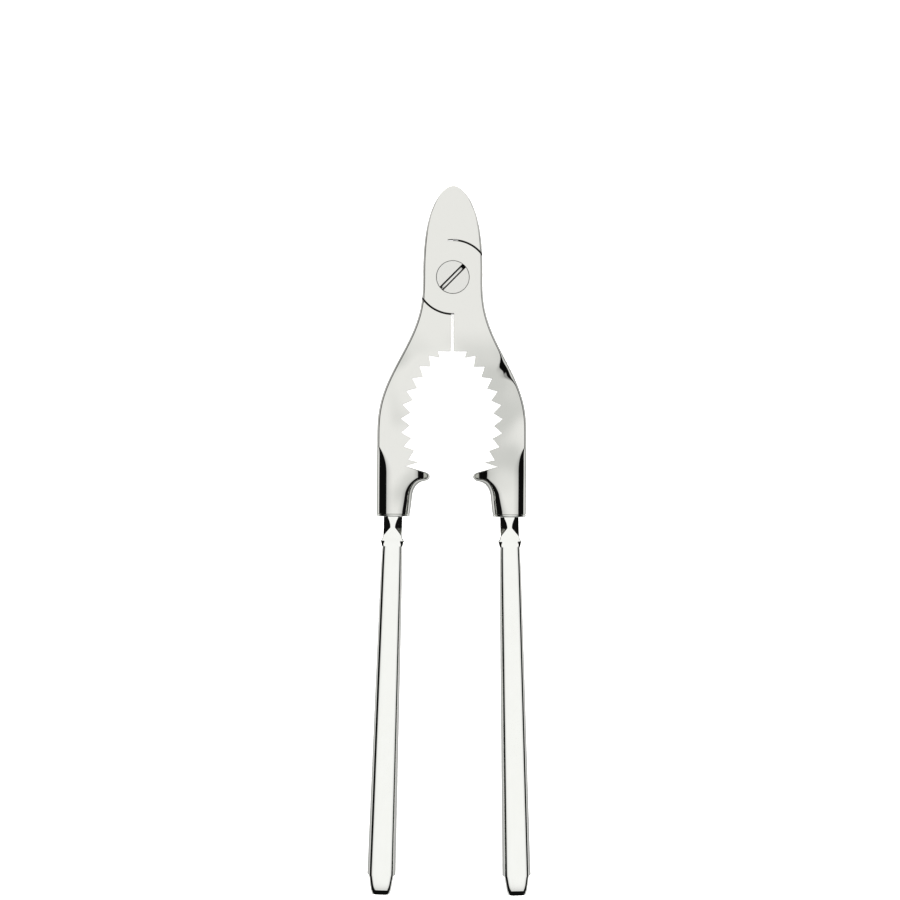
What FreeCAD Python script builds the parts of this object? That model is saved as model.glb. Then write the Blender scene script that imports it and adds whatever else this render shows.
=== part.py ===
import FreeCAD, Part
import math
import os

# A table nutcracker of the plier kind, lying closed on its back. Two equal levers are half-lapped at a flush
# slotted pivot screw: each lever is the other turned half a turn about the long middle line. Every lever has
# a pointed tip above the pivot, a toothed arm with a finger spur below it, and a round socket from which a
# tang runs through a seat plate and a scalloped ferrule into a hollow handle. The handle is two soldered half
# shells filled with cement round the tang, closed by an end plate.
#
# Millimetres. X runs across the tool, Y along it towards the tip, Z up out of the front face. The origin is
# on the pivot axis, in the plane of the back face that the tool rests on.

Vector = FreeCAD.Vector

# Head
HEAD_THICKNESS = 8.0
TIP_LENGTH = 23.3            # pivot axis to the point of the tip
PIVOT_HALF_WIDTH = 7.65
ARM_HALF_WIDTH = 19.1        # pivot axis to the outer edge of an arm
ARM_SWEEP_LENGTH = 40.8      # pivot axis to where the outer edge runs straight
TIP_FULLNESS = 2.6           # powers of the tip's outline: how long it stays wide, how round it ends
TIP_ROUNDNESS = 0.54
EDGE_ROUND = 0.5

# Half lap
LAP_CLEARANCE = 0.06         # between the two lap faces
LAP_DISC_RADIUS = 9.2
SHOULDER_CLEARANCE = 0.45    # between the lap disc and the other lever's shoulder
RELIEF_REACH = 1.3           # how far the shoulder groove runs past the middle line at the tip
TIP_GAP = 0.1                # between the closed tips
ARM_GAP = 0.73               # between the closed arms

# Pivot screw
SCREW_HEAD_RADIUS = 4.2
SCREW_HEAD_HEIGHT = 2.2
SCREW_SHANK_RADIUS = 2.9
SCREW_THREAD_RADIUS = 2.5
SCREW_CLEARANCE = 0.06       # radial, round the head and the shank
SCREW_SEAT_CLEARANCE = 0.04  # under the head
SCREW_END_RECESS = 0.15
SCREW_SLOT_WIDTH = 1.3
SCREW_SLOT_DEPTH = 1.0
SCREW_SLOT_ANGLE = 45.5

# Teeth round the nut space
TOOTH_COUNT = 10
TOOTH_ROOT_RADIUS = 24.3
TOOTH_DEPTH = 2.3
TOOTH_PITCH_ANGLE = 8.46
FIRST_TOOTH_ANGLE = 48.8
NUT_CENTRE_Y = -37.0
NUT_TOP_Y = -18.85           # upper edge of the nut space
FIRST_ROOT_STEP = 0.55       # first root beyond the first tooth's point
ARM_WALL = 6.13              # tooth roots to the outer edge, at the widest place
NOTCH_REACH = 3.6            # notch above the spur, beyond the last tooth's point
NOTCH_DROP = 1.1
NOTCH_BACKING = 0.6          # plate kept beyond the notch's point

# Finger spur
SPUR_LENGTH = 4.7            # beyond the socket's inner side
SPUR_TOP_DROP = 1.4          # its upper edge falls this far from the notch to the point
SPUR_TIP_HEIGHT = 1.8
SPUR_ROOT_HEIGHT = 8.6
SPUR_ROOT_THINNING = 0.2     # how much thinner than the head it is at its root
SPUR_TIP_THINNING = 1.6      # and at its point

# Socket, seat plate and tang
SOCKET_WIDTH = 8.6
SOCKET_SINK = 0.05           # of the round socket, below either face of the head
SOCKET_END_Y = -60.3
SOCKET_LENGTH = 10.8         # the fully round stretch
FLARE_LENGTH = 5.2           # above it: the section deepens until the flat faces cut right across it
FLARE_DEPTH = 30.0           # the uncut section's depth at the top of the flare
SEAT_PLATE_THICKNESS = 0.7
TANG_RADIUS = 1.5
TANG_LENGTH = 58.0
TANG_CLEARANCE = 0.05        # in the seat plate and the ferrule

# Handle
HANDLE_LENGTH = 97.1         # socket's end to handle's end
HANDLE_SPLAY = 1.51          # degrees from the middle line
SHELL_WALL = 0.6
CEMENT_GAP = 0.1             # least cement between the tang and a shell
HANDLE_CORNER = 0.4
HANDLE_BULGE = 0.5           # how far each side swells beyond its corners
HANDLE_WAIST_LENGTH = 6.0    # the first stretch, where the handle widens fastest
HANDLE_WAIST_GAIN = 0.4      # widening over that stretch
HANDLE_MIDDLE_WIDTH = 6.5
HANDLE_END_WIDTH = 7.4
HANDLE_TOP_DEPTH = 5.6
TAPER_LENGTH = 5.1           # the narrowing end, with its end plate
TAPER_STEP = 0.9             # width lost where the swelling sides stop
TAPER_WIDTH_LOSS = 1.1       # from there to the end plate
TAPER_DEPTH_LOSS = 0.7
TAPER_BULGE = 0.1
END_PLATE_THICKNESS = 1.3
END_PLATE_WIDTH_LOSS = 0.7   # over its own thickness
END_PLATE_DEPTH_LOSS = 1.4
SPIGOT_LENGTH = 2.0          # of the ferrule and the end plate, inside the shells
SPIGOT_CLEARANCE = 0.05

# Ferrule
FERRULE_LENGTH = 8.3         # socket's end to the shells' upper end
NECK_WALL = 0.85             # tang to the neck's flat sides
NECK_CHAMFER = 0.7           # corner chamfer at the seat plate
WAIST_WALL = 0.53            # left round the tang's hole at the deepest scallop
WAIST_AT = 3.5
NECK_END_AT = 5.6
SHOULDER_REACH = 0.675       # beyond the neck, each side
SHOULDER_AT = 6.9
SMALL_CHAMFER = 0.25

# Worked-out values
MID_PLANE = HEAD_THICKNESS / 2
SHOULDER_RADIUS = LAP_DISC_RADIUS + SHOULDER_CLEARANCE
LAP_FLOOR = MID_PLANE + LAP_CLEARANCE / 2
TOOTH_TIP_RADIUS = TOOTH_ROOT_RADIUS - TOOTH_DEPTH
TOOTH_CENTRE_X = ARM_HALF_WIDTH - ARM_WALL - TOOTH_ROOT_RADIUS
SOCKET_X = ARM_HALF_WIDTH - SOCKET_WIDTH / 2
SOCKET_INNER_X = SOCKET_X - SOCKET_WIDTH / 2
SOCKET_DEPTH = HEAD_THICKNESS - 2 * SOCKET_SINK
SOCKET_TOP_Y = SOCKET_END_Y + SOCKET_LENGTH
FLARE_TOP_Y = SOCKET_TOP_Y + FLARE_LENGTH
SHELL_END = HANDLE_LENGTH - END_PLATE_THICKNESS
TAPER_START = HANDLE_LENGTH - TAPER_LENGTH
HANDLE_END_DEPTH = HEAD_THICKNESS
HANDLE_TOP_WIDTH = 2 * (TANG_RADIUS + CEMENT_GAP + SHELL_WALL + HANDLE_BULGE - TAPER_BULGE)
TAPER_START_WIDTH = HANDLE_END_WIDTH - TAPER_STEP
TAPER_END_WIDTH = TAPER_START_WIDTH - TAPER_WIDTH_LOSS
TAPER_END_DEPTH = HANDLE_END_DEPTH - TAPER_DEPTH_LOSS
NECK_WIDTH = 2 * (TANG_RADIUS + NECK_WALL)
WAIST_CHAMFER = NECK_WIDTH - math.sqrt(2) * (TANG_RADIUS + TANG_CLEARANCE + WAIST_WALL)

SAMPLES_PER_CURVE = 14
SECTION_POINTS = 32
FLARE_STEPS = 6
FAR = 200.0


def smoother_step(share):
    """A curve from 0 to 1 that starts and ends level and with no bend."""
    return share ** 3 * (share * (6 * share - 15) + 10)


def outer_points():
    """The right-hand outer edge of the head, from the tip down to where it runs straight."""
    tip = []
    for step in range(SAMPLES_PER_CURVE):
        height = 1 - (step / SAMPLES_PER_CURVE) ** 2
        width = PIVOT_HALF_WIDTH * (1 - height ** TIP_FULLNESS) ** TIP_ROUNDNESS
        tip.append(Vector(width, TIP_LENGTH * height, 0))
    arm = []
    for step in range(SAMPLES_PER_CURVE + 1):
        share = step / SAMPLES_PER_CURVE
        width = PIVOT_HALF_WIDTH + (ARM_HALF_WIDTH - PIVOT_HALF_WIDTH) * smoother_step(share)
        arm.append(Vector(width, -ARM_SWEEP_LENGTH * share, 0))
    return tip + arm


def prism(edges, bottom=0.0, top=HEAD_THICKNESS):
    """A closed outline in the XY plane, raised into a solid."""
    face = Part.Face(Part.Wire(edges))
    face.translate(Vector(0, 0, bottom))
    return face.extrude(Vector(0, 0, top - bottom))


def polygon_prism(points, bottom=0.0, top=HEAD_THICKNESS):
    return prism(Part.makePolygon(points + points[:1]).Edges, bottom, top)


def block(x_low, x_high, y_low, y_high, z_low, z_high):
    return Part.makeBox(x_high - x_low, y_high - y_low, z_high - z_low, Vector(x_low, y_low, z_low))


def cylinder(radius, bottom, top):
    """A cylinder on the pivot axis."""
    return Part.makeCylinder(radius, top - bottom, Vector(0, 0, bottom))


def polar(angle, radius):
    """A point round the centre of the tooth arc of the right-hand arm."""
    x = TOOTH_CENTRE_X + radius * math.cos(math.radians(angle))
    y = NUT_CENTRE_Y + radius * math.sin(math.radians(angle))
    return Vector(x, y, 0)


def superellipse(place, half_width, half_height, power):
    """A closed ring between an ellipse (power 2) and a rectangle; place puts (across, up) in space."""
    ring = []
    for step in range(SECTION_POINTS):
        angle = 2 * math.pi * step / SECTION_POINTS
        across = abs(math.cos(angle) / half_width) ** power
        up = abs(math.sin(angle) / half_height) ** power
        reach = (across + up) ** (-1 / power)
        ring.append(place(reach * math.cos(angle), reach * math.sin(angle)))
    curve = Part.BSplineCurve()
    curve.interpolate(Points=ring, PeriodicFlag=True)
    return Part.Wire(curve.toShape())


def half_blank():
    """The right half of the closed head above the socket's flare, as one plate with rounded outer edges."""
    points = outer_points()
    curve = Part.BSplineCurve()
    curve.interpolate(Points=points)
    corners = [points[-1], Vector(ARM_HALF_WIDTH, FLARE_TOP_Y, 0), Vector(0, FLARE_TOP_Y, 0), points[0]]
    edges = [curve.toShape()]
    edges += [Part.makeLine(a, b) for a, b in zip(corners, corners[1:])]
    plate = prism(edges)
    outer = [edge for edge in plate.Edges if on_outer_rim(edge)]
    return plate.makeFillet(EDGE_ROUND, outer).Solids[0]


def on_outer_rim(edge):
    """True for the edges of a face that follow the head's outer side."""
    box = edge.BoundBox
    level = box.ZLength < 0.001
    across = box.YLength < 0.001
    return level and not across and box.XMax > PIVOT_HALF_WIDTH


def nut_space():
    """The space on the right of the middle line that the teeth look into, down to the spur's upper edge."""
    outline = []
    for tooth in range(TOOTH_COUNT):
        angle = FIRST_TOOTH_ANGLE - tooth * TOOTH_PITCH_ANGLE
        outline.append(polar(angle, TOOTH_TIP_RADIUS))
        outline.append(polar(angle - TOOTH_PITCH_ANGLE / 2, TOOTH_ROOT_RADIUS))
    outline.pop()
    first_root = Vector(outline[0].x + FIRST_ROOT_STEP, NUT_TOP_Y, 0)
    notch = notch_point()
    spur_top_y = notch.y - SPUR_TOP_DROP
    spur_end = Vector(SOCKET_INNER_X - SPUR_LENGTH, spur_top_y, 0)
    middle = [Vector(0, spur_top_y, 0), Vector(0, NUT_TOP_Y, 0)]
    return polygon_prism(middle + [first_root] + outline + [notch, spur_end], -1.0, HEAD_THICKNESS + 1.0)


def notch_point():
    last_tooth = polar(FIRST_TOOTH_ANGLE - (TOOTH_COUNT - 1) * TOOTH_PITCH_ANGLE, TOOTH_TIP_RADIUS)
    return Vector(last_tooth.x + NOTCH_REACH, last_tooth.y - NOTCH_DROP, 0)


def socket():
    """The arm's lower end: a round socket whose flare the flat faces of the head cut off."""
    rings = []
    for step in range(FLARE_STEPS + 1):
        share = step / FLARE_STEPS
        depth = SOCKET_DEPTH + (FLARE_DEPTH - SOCKET_DEPTH) * share ** 3
        rings.append(socket_ring(SOCKET_TOP_Y + FLARE_LENGTH * share, depth))
    slab = block(0, FAR, -FAR, 0, 0, HEAD_THICKNESS)
    flare = Part.makeLoft(rings, True, True).common(slab)
    return flare.fuse(Part.Face(rings[0]).extrude(Vector(0, -SOCKET_LENGTH, 0)))


def socket_ring(y, depth):
    return superellipse(
        lambda across, up: Vector(SOCKET_X + across, y, MID_PLANE + up), SOCKET_WIDTH / 2, depth / 2, 2)


def tooth_block():
    """The last teeth and the notch, beside the socket's flare."""
    notch = notch_point()
    return block(SOCKET_INNER_X - SOCKET_WIDTH / 2, notch.x + NOTCH_BACKING, notch.y - NOTCH_BACKING,
                 FLARE_TOP_Y, 0, HEAD_THICKNESS)


def spur():
    """The finger spur: a thorn that grows out of the socket's inner side towards the middle line."""
    notch = notch_point()
    root_x = SOCKET_X - SOCKET_WIDTH / 4
    tip_x = SOCKET_INNER_X - SPUR_LENGTH
    tip_top = notch.y - SPUR_TOP_DROP
    rings = []
    for share in (0.0, 0.25, 0.5, 0.75, 0.93, 1.0):
        x = root_x + (tip_x - root_x) * share
        top = notch.y + (tip_top - notch.y) * share
        height = SPUR_ROOT_HEIGHT + (SPUR_TIP_HEIGHT - SPUR_ROOT_HEIGHT) * (2 * share - share ** 2)
        thinning = SPUR_ROOT_THINNING + (SPUR_TIP_THINNING - SPUR_ROOT_THINNING) * share ** 2
        thickness = HEAD_THICKNESS - thinning
        if share == 1.0:
            height = height / 2
            thickness = thickness - SPUR_TIP_HEIGHT
            top = top - height / 2
        rings.append(superellipse(
            lambda along, up: Vector(x, top - height / 2 + along, MID_PLANE + up),
            height / 2, thickness / 2, 3))
    return Part.makeLoft(rings, True)


def place_handle(shape):
    """From the handle's own frame, where it runs down -Y from the socket's end, to the right-hand lever."""
    placed = shape.copy()
    placed.rotate(Vector(0, 0, 0), Vector(0, 0, 1), HANDLE_SPLAY)
    placed.translate(Vector(SOCKET_X, SOCKET_END_Y, 0))
    return placed


def flip(shape):
    """Half a turn about the long middle line: makes the left-hand piece from the right-hand one."""
    turned = shape.copy()
    turned.rotate(Vector(0, 0, MID_PLANE), Vector(0, 1, 0), 180)
    return turned


def tang_rod(radius, start, end):
    """A rod along the handle's line, from start to end below the socket's end."""
    return Part.makeCylinder(radius, end - start, Vector(0, -start, MID_PLANE), Vector(0, -1, 0))


def lever():
    """One lever with no screw holes: the one with the right-hand arm, the left-hand tip and the front lap."""
    right = half_blank()
    left = right.mirror(Vector(0, 0, 0), Vector(1, 0, 0))
    whole = right.fuse(left)
    low, high = -1.0, HEAD_THICKNESS + 1.0
    front_disc = whole.common(cylinder(LAP_DISC_RADIUS, LAP_FLOOR, high))
    back_lap = cylinder(SHOULDER_RADIUS, low, LAP_FLOOR)
    arm = right.common(block(ARM_GAP / 2, FAR, -FAR, 0, low, high))
    arm = arm.fuse([socket(), tooth_block(), spur()]).cut(nut_space()).cut(back_lap)
    tip = left.common(block(-FAR, -TIP_GAP / 2, 0, FAR, low, high)).cut(back_lap)
    groove = cylinder(SHOULDER_RADIUS, LAP_FLOOR, high).cut(cylinder(LAP_DISC_RADIUS, LAP_FLOOR, high))
    relief = groove.common(block(-RELIEF_REACH, 0, 0, FAR, LAP_FLOOR, high))
    tang = place_handle(tang_rod(TANG_RADIUS, -SOCKET_WIDTH / 2, TANG_LENGTH))
    body = front_disc.fuse([arm, tip]).cut(relief).fuse(tang)
    return body.removeSplitter()


def head_pieces():
    """Both jaws with their holes, and the screw that joins them."""
    body = lever()
    seat = HEAD_THICKNESS - SCREW_HEAD_HEIGHT
    high = HEAD_THICKNESS + 1.0
    counterbore = cylinder(SCREW_HEAD_RADIUS + SCREW_CLEARANCE, seat - SCREW_SEAT_CLEARANCE, high)
    right_jaw = body.cut(cylinder(SCREW_SHANK_RADIUS + SCREW_CLEARANCE, 0, high)).cut(counterbore)
    left_jaw = flip(body).cut(cylinder(SCREW_THREAD_RADIUS, -1.0, high))
    shank_end = MID_PLANE - LAP_CLEARANCE / 2
    screw = cylinder(SCREW_HEAD_RADIUS, seat, HEAD_THICKNESS).fuse([
        cylinder(SCREW_SHANK_RADIUS, shank_end, seat),
        cylinder(SCREW_THREAD_RADIUS, SCREW_END_RECESS, shank_end)])
    half_slot = SCREW_SLOT_WIDTH / 2
    slot = block(-SCREW_HEAD_RADIUS, SCREW_HEAD_RADIUS, -half_slot, half_slot,
                 HEAD_THICKNESS - SCREW_SLOT_DEPTH, high)
    slot.rotate(Vector(0, 0, 0), Vector(0, 0, 1), SCREW_SLOT_ANGLE)
    return {"right_jaw": right_jaw, "left_jaw": left_jaw, "pivot_screw": screw.cut(slot).removeSplitter()}


def seat_plate():
    """The thin plate soldered between the socket and the ferrule, with a hole for the tang."""
    plate = Part.Face(socket_ring(SOCKET_END_Y, SOCKET_DEPTH)).extrude(Vector(0, -SEAT_PLATE_THICKNESS, 0))
    return plate.cut(place_handle(tang_rod(TANG_RADIUS + TANG_CLEARANCE, -1.0, SEAT_PLATE_THICKNESS + 1.0)))


def octagon(at, half_width, half_depth, chamfer):
    """A rectangle with cut corners, across the handle's line."""
    x, z = half_width - chamfer, half_depth - chamfer
    corners = [(half_width, z), (x, half_depth), (-x, half_depth), (-half_width, z)]
    corners += [(-across, -up) for across, up in corners]
    points = [Vector(across, -at, MID_PLANE + up) for across, up in corners]
    return Part.makePolygon(points + points[:1])


def ferrule():
    """A square neck with scalloped corners that opens to a shoulder, and a spigot inside the shells."""
    neck = NECK_WIDTH / 2
    top = HANDLE_TOP_DEPTH / 2
    half_way = (WAIST_AT + NECK_END_AT) / 2
    neck_rings = [
        octagon(0, neck, neck, NECK_CHAMFER),
        octagon(WAIST_AT / 2, neck, neck, (NECK_CHAMFER + 2 * WAIST_CHAMFER) / 3),
        octagon(WAIST_AT, neck, neck, WAIST_CHAMFER),
        octagon(half_way, neck, neck, (WAIST_CHAMFER + SMALL_CHAMFER) / 2),
        octagon(NECK_END_AT, neck, neck, SMALL_CHAMFER)]
    flare = [
        octagon(NECK_END_AT, neck, neck, SMALL_CHAMFER),
        octagon(SHOULDER_AT, neck + SHOULDER_REACH, top, SMALL_CHAMFER),
        octagon(FERRULE_LENGTH, HANDLE_TOP_WIDTH / 2, top, SMALL_CHAMFER)]
    spigot = cavity(FERRULE_LENGTH, FERRULE_LENGTH + SPIGOT_LENGTH, SPIGOT_CLEARANCE)
    body = Part.makeLoft(neck_rings, True).fuse([Part.makeLoft(flare, True, True), spigot])
    body = body.cut(tang_rod(TANG_RADIUS + TANG_CLEARANCE, -1.0, FERRULE_LENGTH + SPIGOT_LENGTH + 1.0))
    above = block(0, FAR, SOCKET_END_Y - SEAT_PLATE_THICKNESS, 0, -FAR, FAR)
    return place_handle(body.removeSplitter()).cut(above)


def handle_ring(at, width, depth, bulge):
    """The handle's section: flat front and back, small round corners and swelling sides."""
    side = width / 2 - bulge
    flat = side - HANDLE_CORNER
    face = depth / 2
    shoulder = face - HANDLE_CORNER
    bend = HANDLE_CORNER * (1 - math.sqrt(0.5))

    def spot(across, up):
        return Vector(across, -at, MID_PLANE + up)

    edges = []
    for sign in (1, -1):
        edges.append(Part.makeLine(spot(-sign * flat, sign * face), spot(sign * flat, sign * face)))
        edges.append(Part.Arc(
            spot(sign * flat, sign * face),
            spot(sign * (side - bend), sign * (face - bend)),
            spot(sign * side, sign * shoulder)).toShape())
        edges.append(Part.Arc(
            spot(sign * side, sign * shoulder),
            spot(sign * (side + bulge), 0),
            spot(sign * side, -sign * shoulder)).toShape())
        edges.append(Part.Arc(
            spot(sign * side, -sign * shoulder),
            spot(sign * (side - bend), -sign * (face - bend)),
            spot(sign * flat, -sign * face)).toShape())
    return Part.Wire(edges)


def handle_stations():
    """Distances below the socket's end at which the handle's width is set, with the widths."""
    half_way = (FERRULE_LENGTH + TAPER_START) / 2
    waist = (FERRULE_LENGTH + HANDLE_WAIST_LENGTH, HANDLE_TOP_WIDTH + HANDLE_WAIST_GAIN)
    return [(FERRULE_LENGTH, HANDLE_TOP_WIDTH), waist, (half_way, HANDLE_MIDDLE_WIDTH),
            (TAPER_START, HANDLE_END_WIDTH)]


def handle_depth(at):
    """The handle's depth, which grows evenly from the ferrule to where the end narrows."""
    run = (at - FERRULE_LENGTH) / (TAPER_START - FERRULE_LENGTH)
    return HANDLE_TOP_DEPTH + (HANDLE_END_DEPTH - HANDLE_TOP_DEPTH) * run


def handle_outside():
    """The closed outer form of both shells together."""
    rings = [handle_ring(at, width, handle_depth(at), HANDLE_BULGE) for at, width in handle_stations()]
    taper = Part.makeLoft([
        handle_ring(TAPER_START, TAPER_START_WIDTH, HANDLE_END_DEPTH, TAPER_BULGE),
        handle_ring(SHELL_END, TAPER_END_WIDTH, TAPER_END_DEPTH, TAPER_BULGE)], True)
    return Part.makeLoft(rings, True).fuse(taper).removeSplitter()


def cavity(start, end, clearance=0.0):
    """The shells' inside, from start to end, less a clearance all round."""
    inset = 2 * (SHELL_WALL + clearance)
    side_inset = inset + 2 * (HANDLE_BULGE - TAPER_BULGE)
    top, foot = HANDLE_TOP_WIDTH - side_inset, HANDLE_END_WIDTH - side_inset
    middle = Part.makeLoft([
        handle_ring(FERRULE_LENGTH, top, HANDLE_TOP_DEPTH - inset, TAPER_BULGE),
        handle_ring(TAPER_START, foot, HANDLE_END_DEPTH - inset, TAPER_BULGE)], True)
    taper = Part.makeLoft([
        handle_ring(TAPER_START, foot, HANDLE_END_DEPTH - inset, TAPER_BULGE),
        handle_ring(SHELL_END, TAPER_END_WIDTH - inset, TAPER_END_DEPTH - inset, TAPER_BULGE)], True)
    return middle.fuse(taper).removeSplitter().common(block(-FAR, FAR, -end, -start, -FAR, FAR))


def handle_pieces():
    """The two half shells, the cement and the end plate of the right-hand handle, in the handle's frame."""
    outside = handle_outside()
    wall = outside.cut(cavity(FERRULE_LENGTH, SHELL_END))
    spigot = cavity(SHELL_END - SPIGOT_LENGTH, SHELL_END, SPIGOT_CLEARANCE)
    cap = Part.makeLoft([
        handle_ring(SHELL_END, TAPER_END_WIDTH, TAPER_END_DEPTH, TAPER_BULGE),
        handle_ring(HANDLE_LENGTH, TAPER_END_WIDTH - END_PLATE_WIDTH_LOSS,
                    TAPER_END_DEPTH - END_PLATE_DEPTH_LOSS, TAPER_BULGE)], True)
    filling = cavity(FERRULE_LENGTH + SPIGOT_LENGTH, SHELL_END - SPIGOT_LENGTH)
    return {
        "handle_front_shell": wall.common(block(-FAR, FAR, -FAR, 0, MID_PLANE, FAR)),
        "handle_back_shell": wall.common(block(-FAR, FAR, -FAR, 0, -FAR, MID_PLANE)),
        "handle_cement": filling.cut(tang_rod(TANG_RADIUS, 0, TANG_LENGTH)),
        "handle_end_plate": cap.fuse(spigot).removeSplitter()}


def build():
    """Every node's solid, by name."""
    pieces = head_pieces()
    right = {name: place_handle(shape) for name, shape in handle_pieces().items()}
    right["seat_plate"] = seat_plate()
    right["ferrule"] = ferrule()
    opposite = {"handle_front_shell": "handle_back_shell", "handle_back_shell": "handle_front_shell"}
    for name, shape in right.items():
        pieces["right_" + name] = shape
        pieces["left_" + opposite.get(name, name)] = flip(shape)
    return pieces


os.makedirs("parts", exist_ok=True)
for node, solid in build().items():
    solid.exportStep("parts/" + node + ".step")
    box = solid.optimalBoundingBox(True, False)
    print(node, len(solid.Solids), round(solid.Volume, 2), "valid" if solid.isValid() else "NOT VALID",
          [round(v, 2) for v in (box.XMin, box.XMax, box.YMin, box.YMax, box.ZMin, box.ZMax)])
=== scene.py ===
"""A plier-type nutcracker: a polished steel head on a slotted pivot screw, with two hollow silver handles.

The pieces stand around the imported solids. Sizes are in millimetres until a mesh is made, X runs across the
tool, Y along it towards the tip and Z up out of the front face. The left lever is the right one turned half a
turn about the long middle line.
"""

from __future__ import annotations

import logging
import math
from dataclasses import dataclass, field
from enum import Enum

import bpy
import numpy as np
from mathutils import Matrix, Vector, geometry

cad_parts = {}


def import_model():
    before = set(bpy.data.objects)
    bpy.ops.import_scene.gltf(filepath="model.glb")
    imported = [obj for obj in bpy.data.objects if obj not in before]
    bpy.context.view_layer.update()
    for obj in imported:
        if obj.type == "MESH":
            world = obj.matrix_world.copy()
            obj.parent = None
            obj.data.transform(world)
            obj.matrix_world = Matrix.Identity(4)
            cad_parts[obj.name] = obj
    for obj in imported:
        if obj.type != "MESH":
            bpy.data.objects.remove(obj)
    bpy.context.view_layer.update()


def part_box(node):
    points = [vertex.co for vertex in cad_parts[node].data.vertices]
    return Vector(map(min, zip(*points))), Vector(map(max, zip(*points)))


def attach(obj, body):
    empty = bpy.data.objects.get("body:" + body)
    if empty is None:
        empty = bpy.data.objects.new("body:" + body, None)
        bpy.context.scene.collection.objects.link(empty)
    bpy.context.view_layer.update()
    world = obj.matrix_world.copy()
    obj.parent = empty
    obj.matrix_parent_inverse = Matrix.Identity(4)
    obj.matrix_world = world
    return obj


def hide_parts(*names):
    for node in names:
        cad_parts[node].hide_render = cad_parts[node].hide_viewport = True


LOG = logging.getLogger("nutcracker")
MM = 0.001


class Side(Enum):
    """Which lever a piece belongs to."""

    LEFT = "left"
    RIGHT = "right"


class Layer(Enum):
    """Which half of a hollow handle a shell is."""

    FRONT = "front"
    BACK = "back"


# ---------------------------------------------------------------------------------------------------------
# Colour, nodes and meshes


def linear(code: str) -> tuple[float, float, float, float]:
    """Turns an sRGB hex code such as 'e2e3dd' into linear red, green, blue and an alpha of one."""
    channels = np.array([int(code[at : at + 2], 16) for at in (0, 2, 4)]) / 255
    low, high = channels / 12.92, ((channels + 0.055) / 1.055) ** 2.4
    return (*np.where(channels <= 0.04045, low, high).tolist(), 1.0)


def set_inputs(tree: bpy.types.NodeTree, node: bpy.types.Node, inputs: dict[str | int, object]) -> None:
    """Sets a node's inputs, by name or number, each to a value or to the output socket that feeds it."""
    for key, value in inputs.items():
        if isinstance(value, bpy.types.NodeSocket):
            tree.links.new(value, node.inputs[key])
        else:
            node.inputs[key].default_value = value


def add_node(
    tree: bpy.types.NodeTree,
    kind: str,
    inputs: dict[str | int, object] | None = None,
    **settings: object,
) -> bpy.types.Node:
    """Adds one shader node with its settings, socket values and links.

    Args:
        tree: The node tree that gets the node.
        kind: The node's type, such as 'ShaderNodeBump'.
        inputs: For each input, by name or number, a value or the output socket that feeds it.
        **settings: Attributes of the node, such as operation='MULTIPLY'.

    Returns:
        The new node.
    """
    node = tree.nodes.new(kind)
    for key, value in settings.items():
        setattr(node, key, value)
    set_inputs(tree, node, inputs or {})
    return node


def blank_material(
    name: str,
) -> tuple[bpy.types.Material, bpy.types.NodeTree, bpy.types.Node, bpy.types.NodeSocket]:
    """Makes a material that holds only its shader and the object's own coordinates.

    Args:
        name: The material's name.

    Returns:
        The material, its node tree, its shader and the output socket with the coordinates.
    """
    material = bpy.data.materials.new(name)
    material.use_nodes = True
    tree = material.node_tree
    place = add_node(tree, "ShaderNodeTexCoord").outputs["Object"]
    return material, tree, tree.nodes["Principled BSDF"], place


def put_mesh(name: str, points: np.ndarray, faces: list[list[int]]) -> bpy.types.Object:
    """Makes an object at the origin from points in millimetres, with its faces pointing outwards.

    The volume inside is a third of the sum over the faces of face centre times area vector, and the faces are
    turned round if it comes out negative.

    Args:
        name: The piece's name.
        points: Vertices, in millimetres, one row each.
        faces: Vertex numbers of each face.

    Returns:
        The linked object, shaded smooth.
    """
    mesh = bpy.data.meshes.new(name)
    mesh.from_pydata((points.reshape(-1, 3) * MM).tolist(), [], faces)
    centres = np.zeros(len(mesh.polygons) * 3)
    normals = np.zeros(len(mesh.polygons) * 3)
    areas = np.zeros(len(mesh.polygons))
    mesh.polygons.foreach_get("center", centres)
    mesh.polygons.foreach_get("normal", normals)
    mesh.polygons.foreach_get("area", areas)
    if np.sum(np.sum((centres * normals).reshape(-1, 3), axis=1) * areas) < 0:
        mesh.flip_normals()
    mesh.shade_smooth()
    piece = bpy.data.objects.new(name, mesh)
    bpy.context.scene.collection.objects.link(piece)
    return piece


def grid_faces(rows: int, columns: int, wrap_rows: bool = False) -> list[list[int]]:
    """Numbers the four-sided faces of a grid whose columns run round without a seam.

    Args:
        rows: Number of rings.
        columns: Number of points round each ring.
        wrap_rows: Joins the last ring to the first one, as on a torus.

    Returns:
        Vertex numbers of each face.
    """
    index = np.arange(rows * columns).reshape(rows, columns)
    here = index if wrap_rows else index[:-1]
    there = np.roll(index, -1, axis=0) if wrap_rows else index[1:]
    return np.stack([here, np.roll(here, -1, 1), np.roll(there, -1, 1), there], -1).reshape(-1, 4).tolist()


def skin(name: str, rings: np.ndarray, sharp_degrees: float = 28.0) -> bpy.types.Object:
    """Skins a stack of closed rings, and fills the first and the last with one flat face each.

    Args:
        name: The piece's name.
        rings: Grid of points in millimetres, ring by ring.
        sharp_degrees: Edges that bend by more than this stay crisp.

    Returns:
        The closed piece.
    """
    rows, columns, _ = rings.shape
    last = (rows - 1) * columns
    caps = [list(range(columns - 1, -1, -1)), list(range(last, last + columns))]
    piece = put_mesh(name, rings, grid_faces(rows, columns) + caps)
    piece.data.set_sharp_from_angle(angle=math.radians(sharp_degrees))
    return piece


def turn_round(points: np.ndarray, mid_plane: float) -> np.ndarray:
    """Half a turn about the long middle line: x becomes minus x, and z is counted from the other face."""
    return np.stack([-points[..., 0], points[..., 1], 2 * mid_plane - points[..., 2]], axis=-1)


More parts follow.
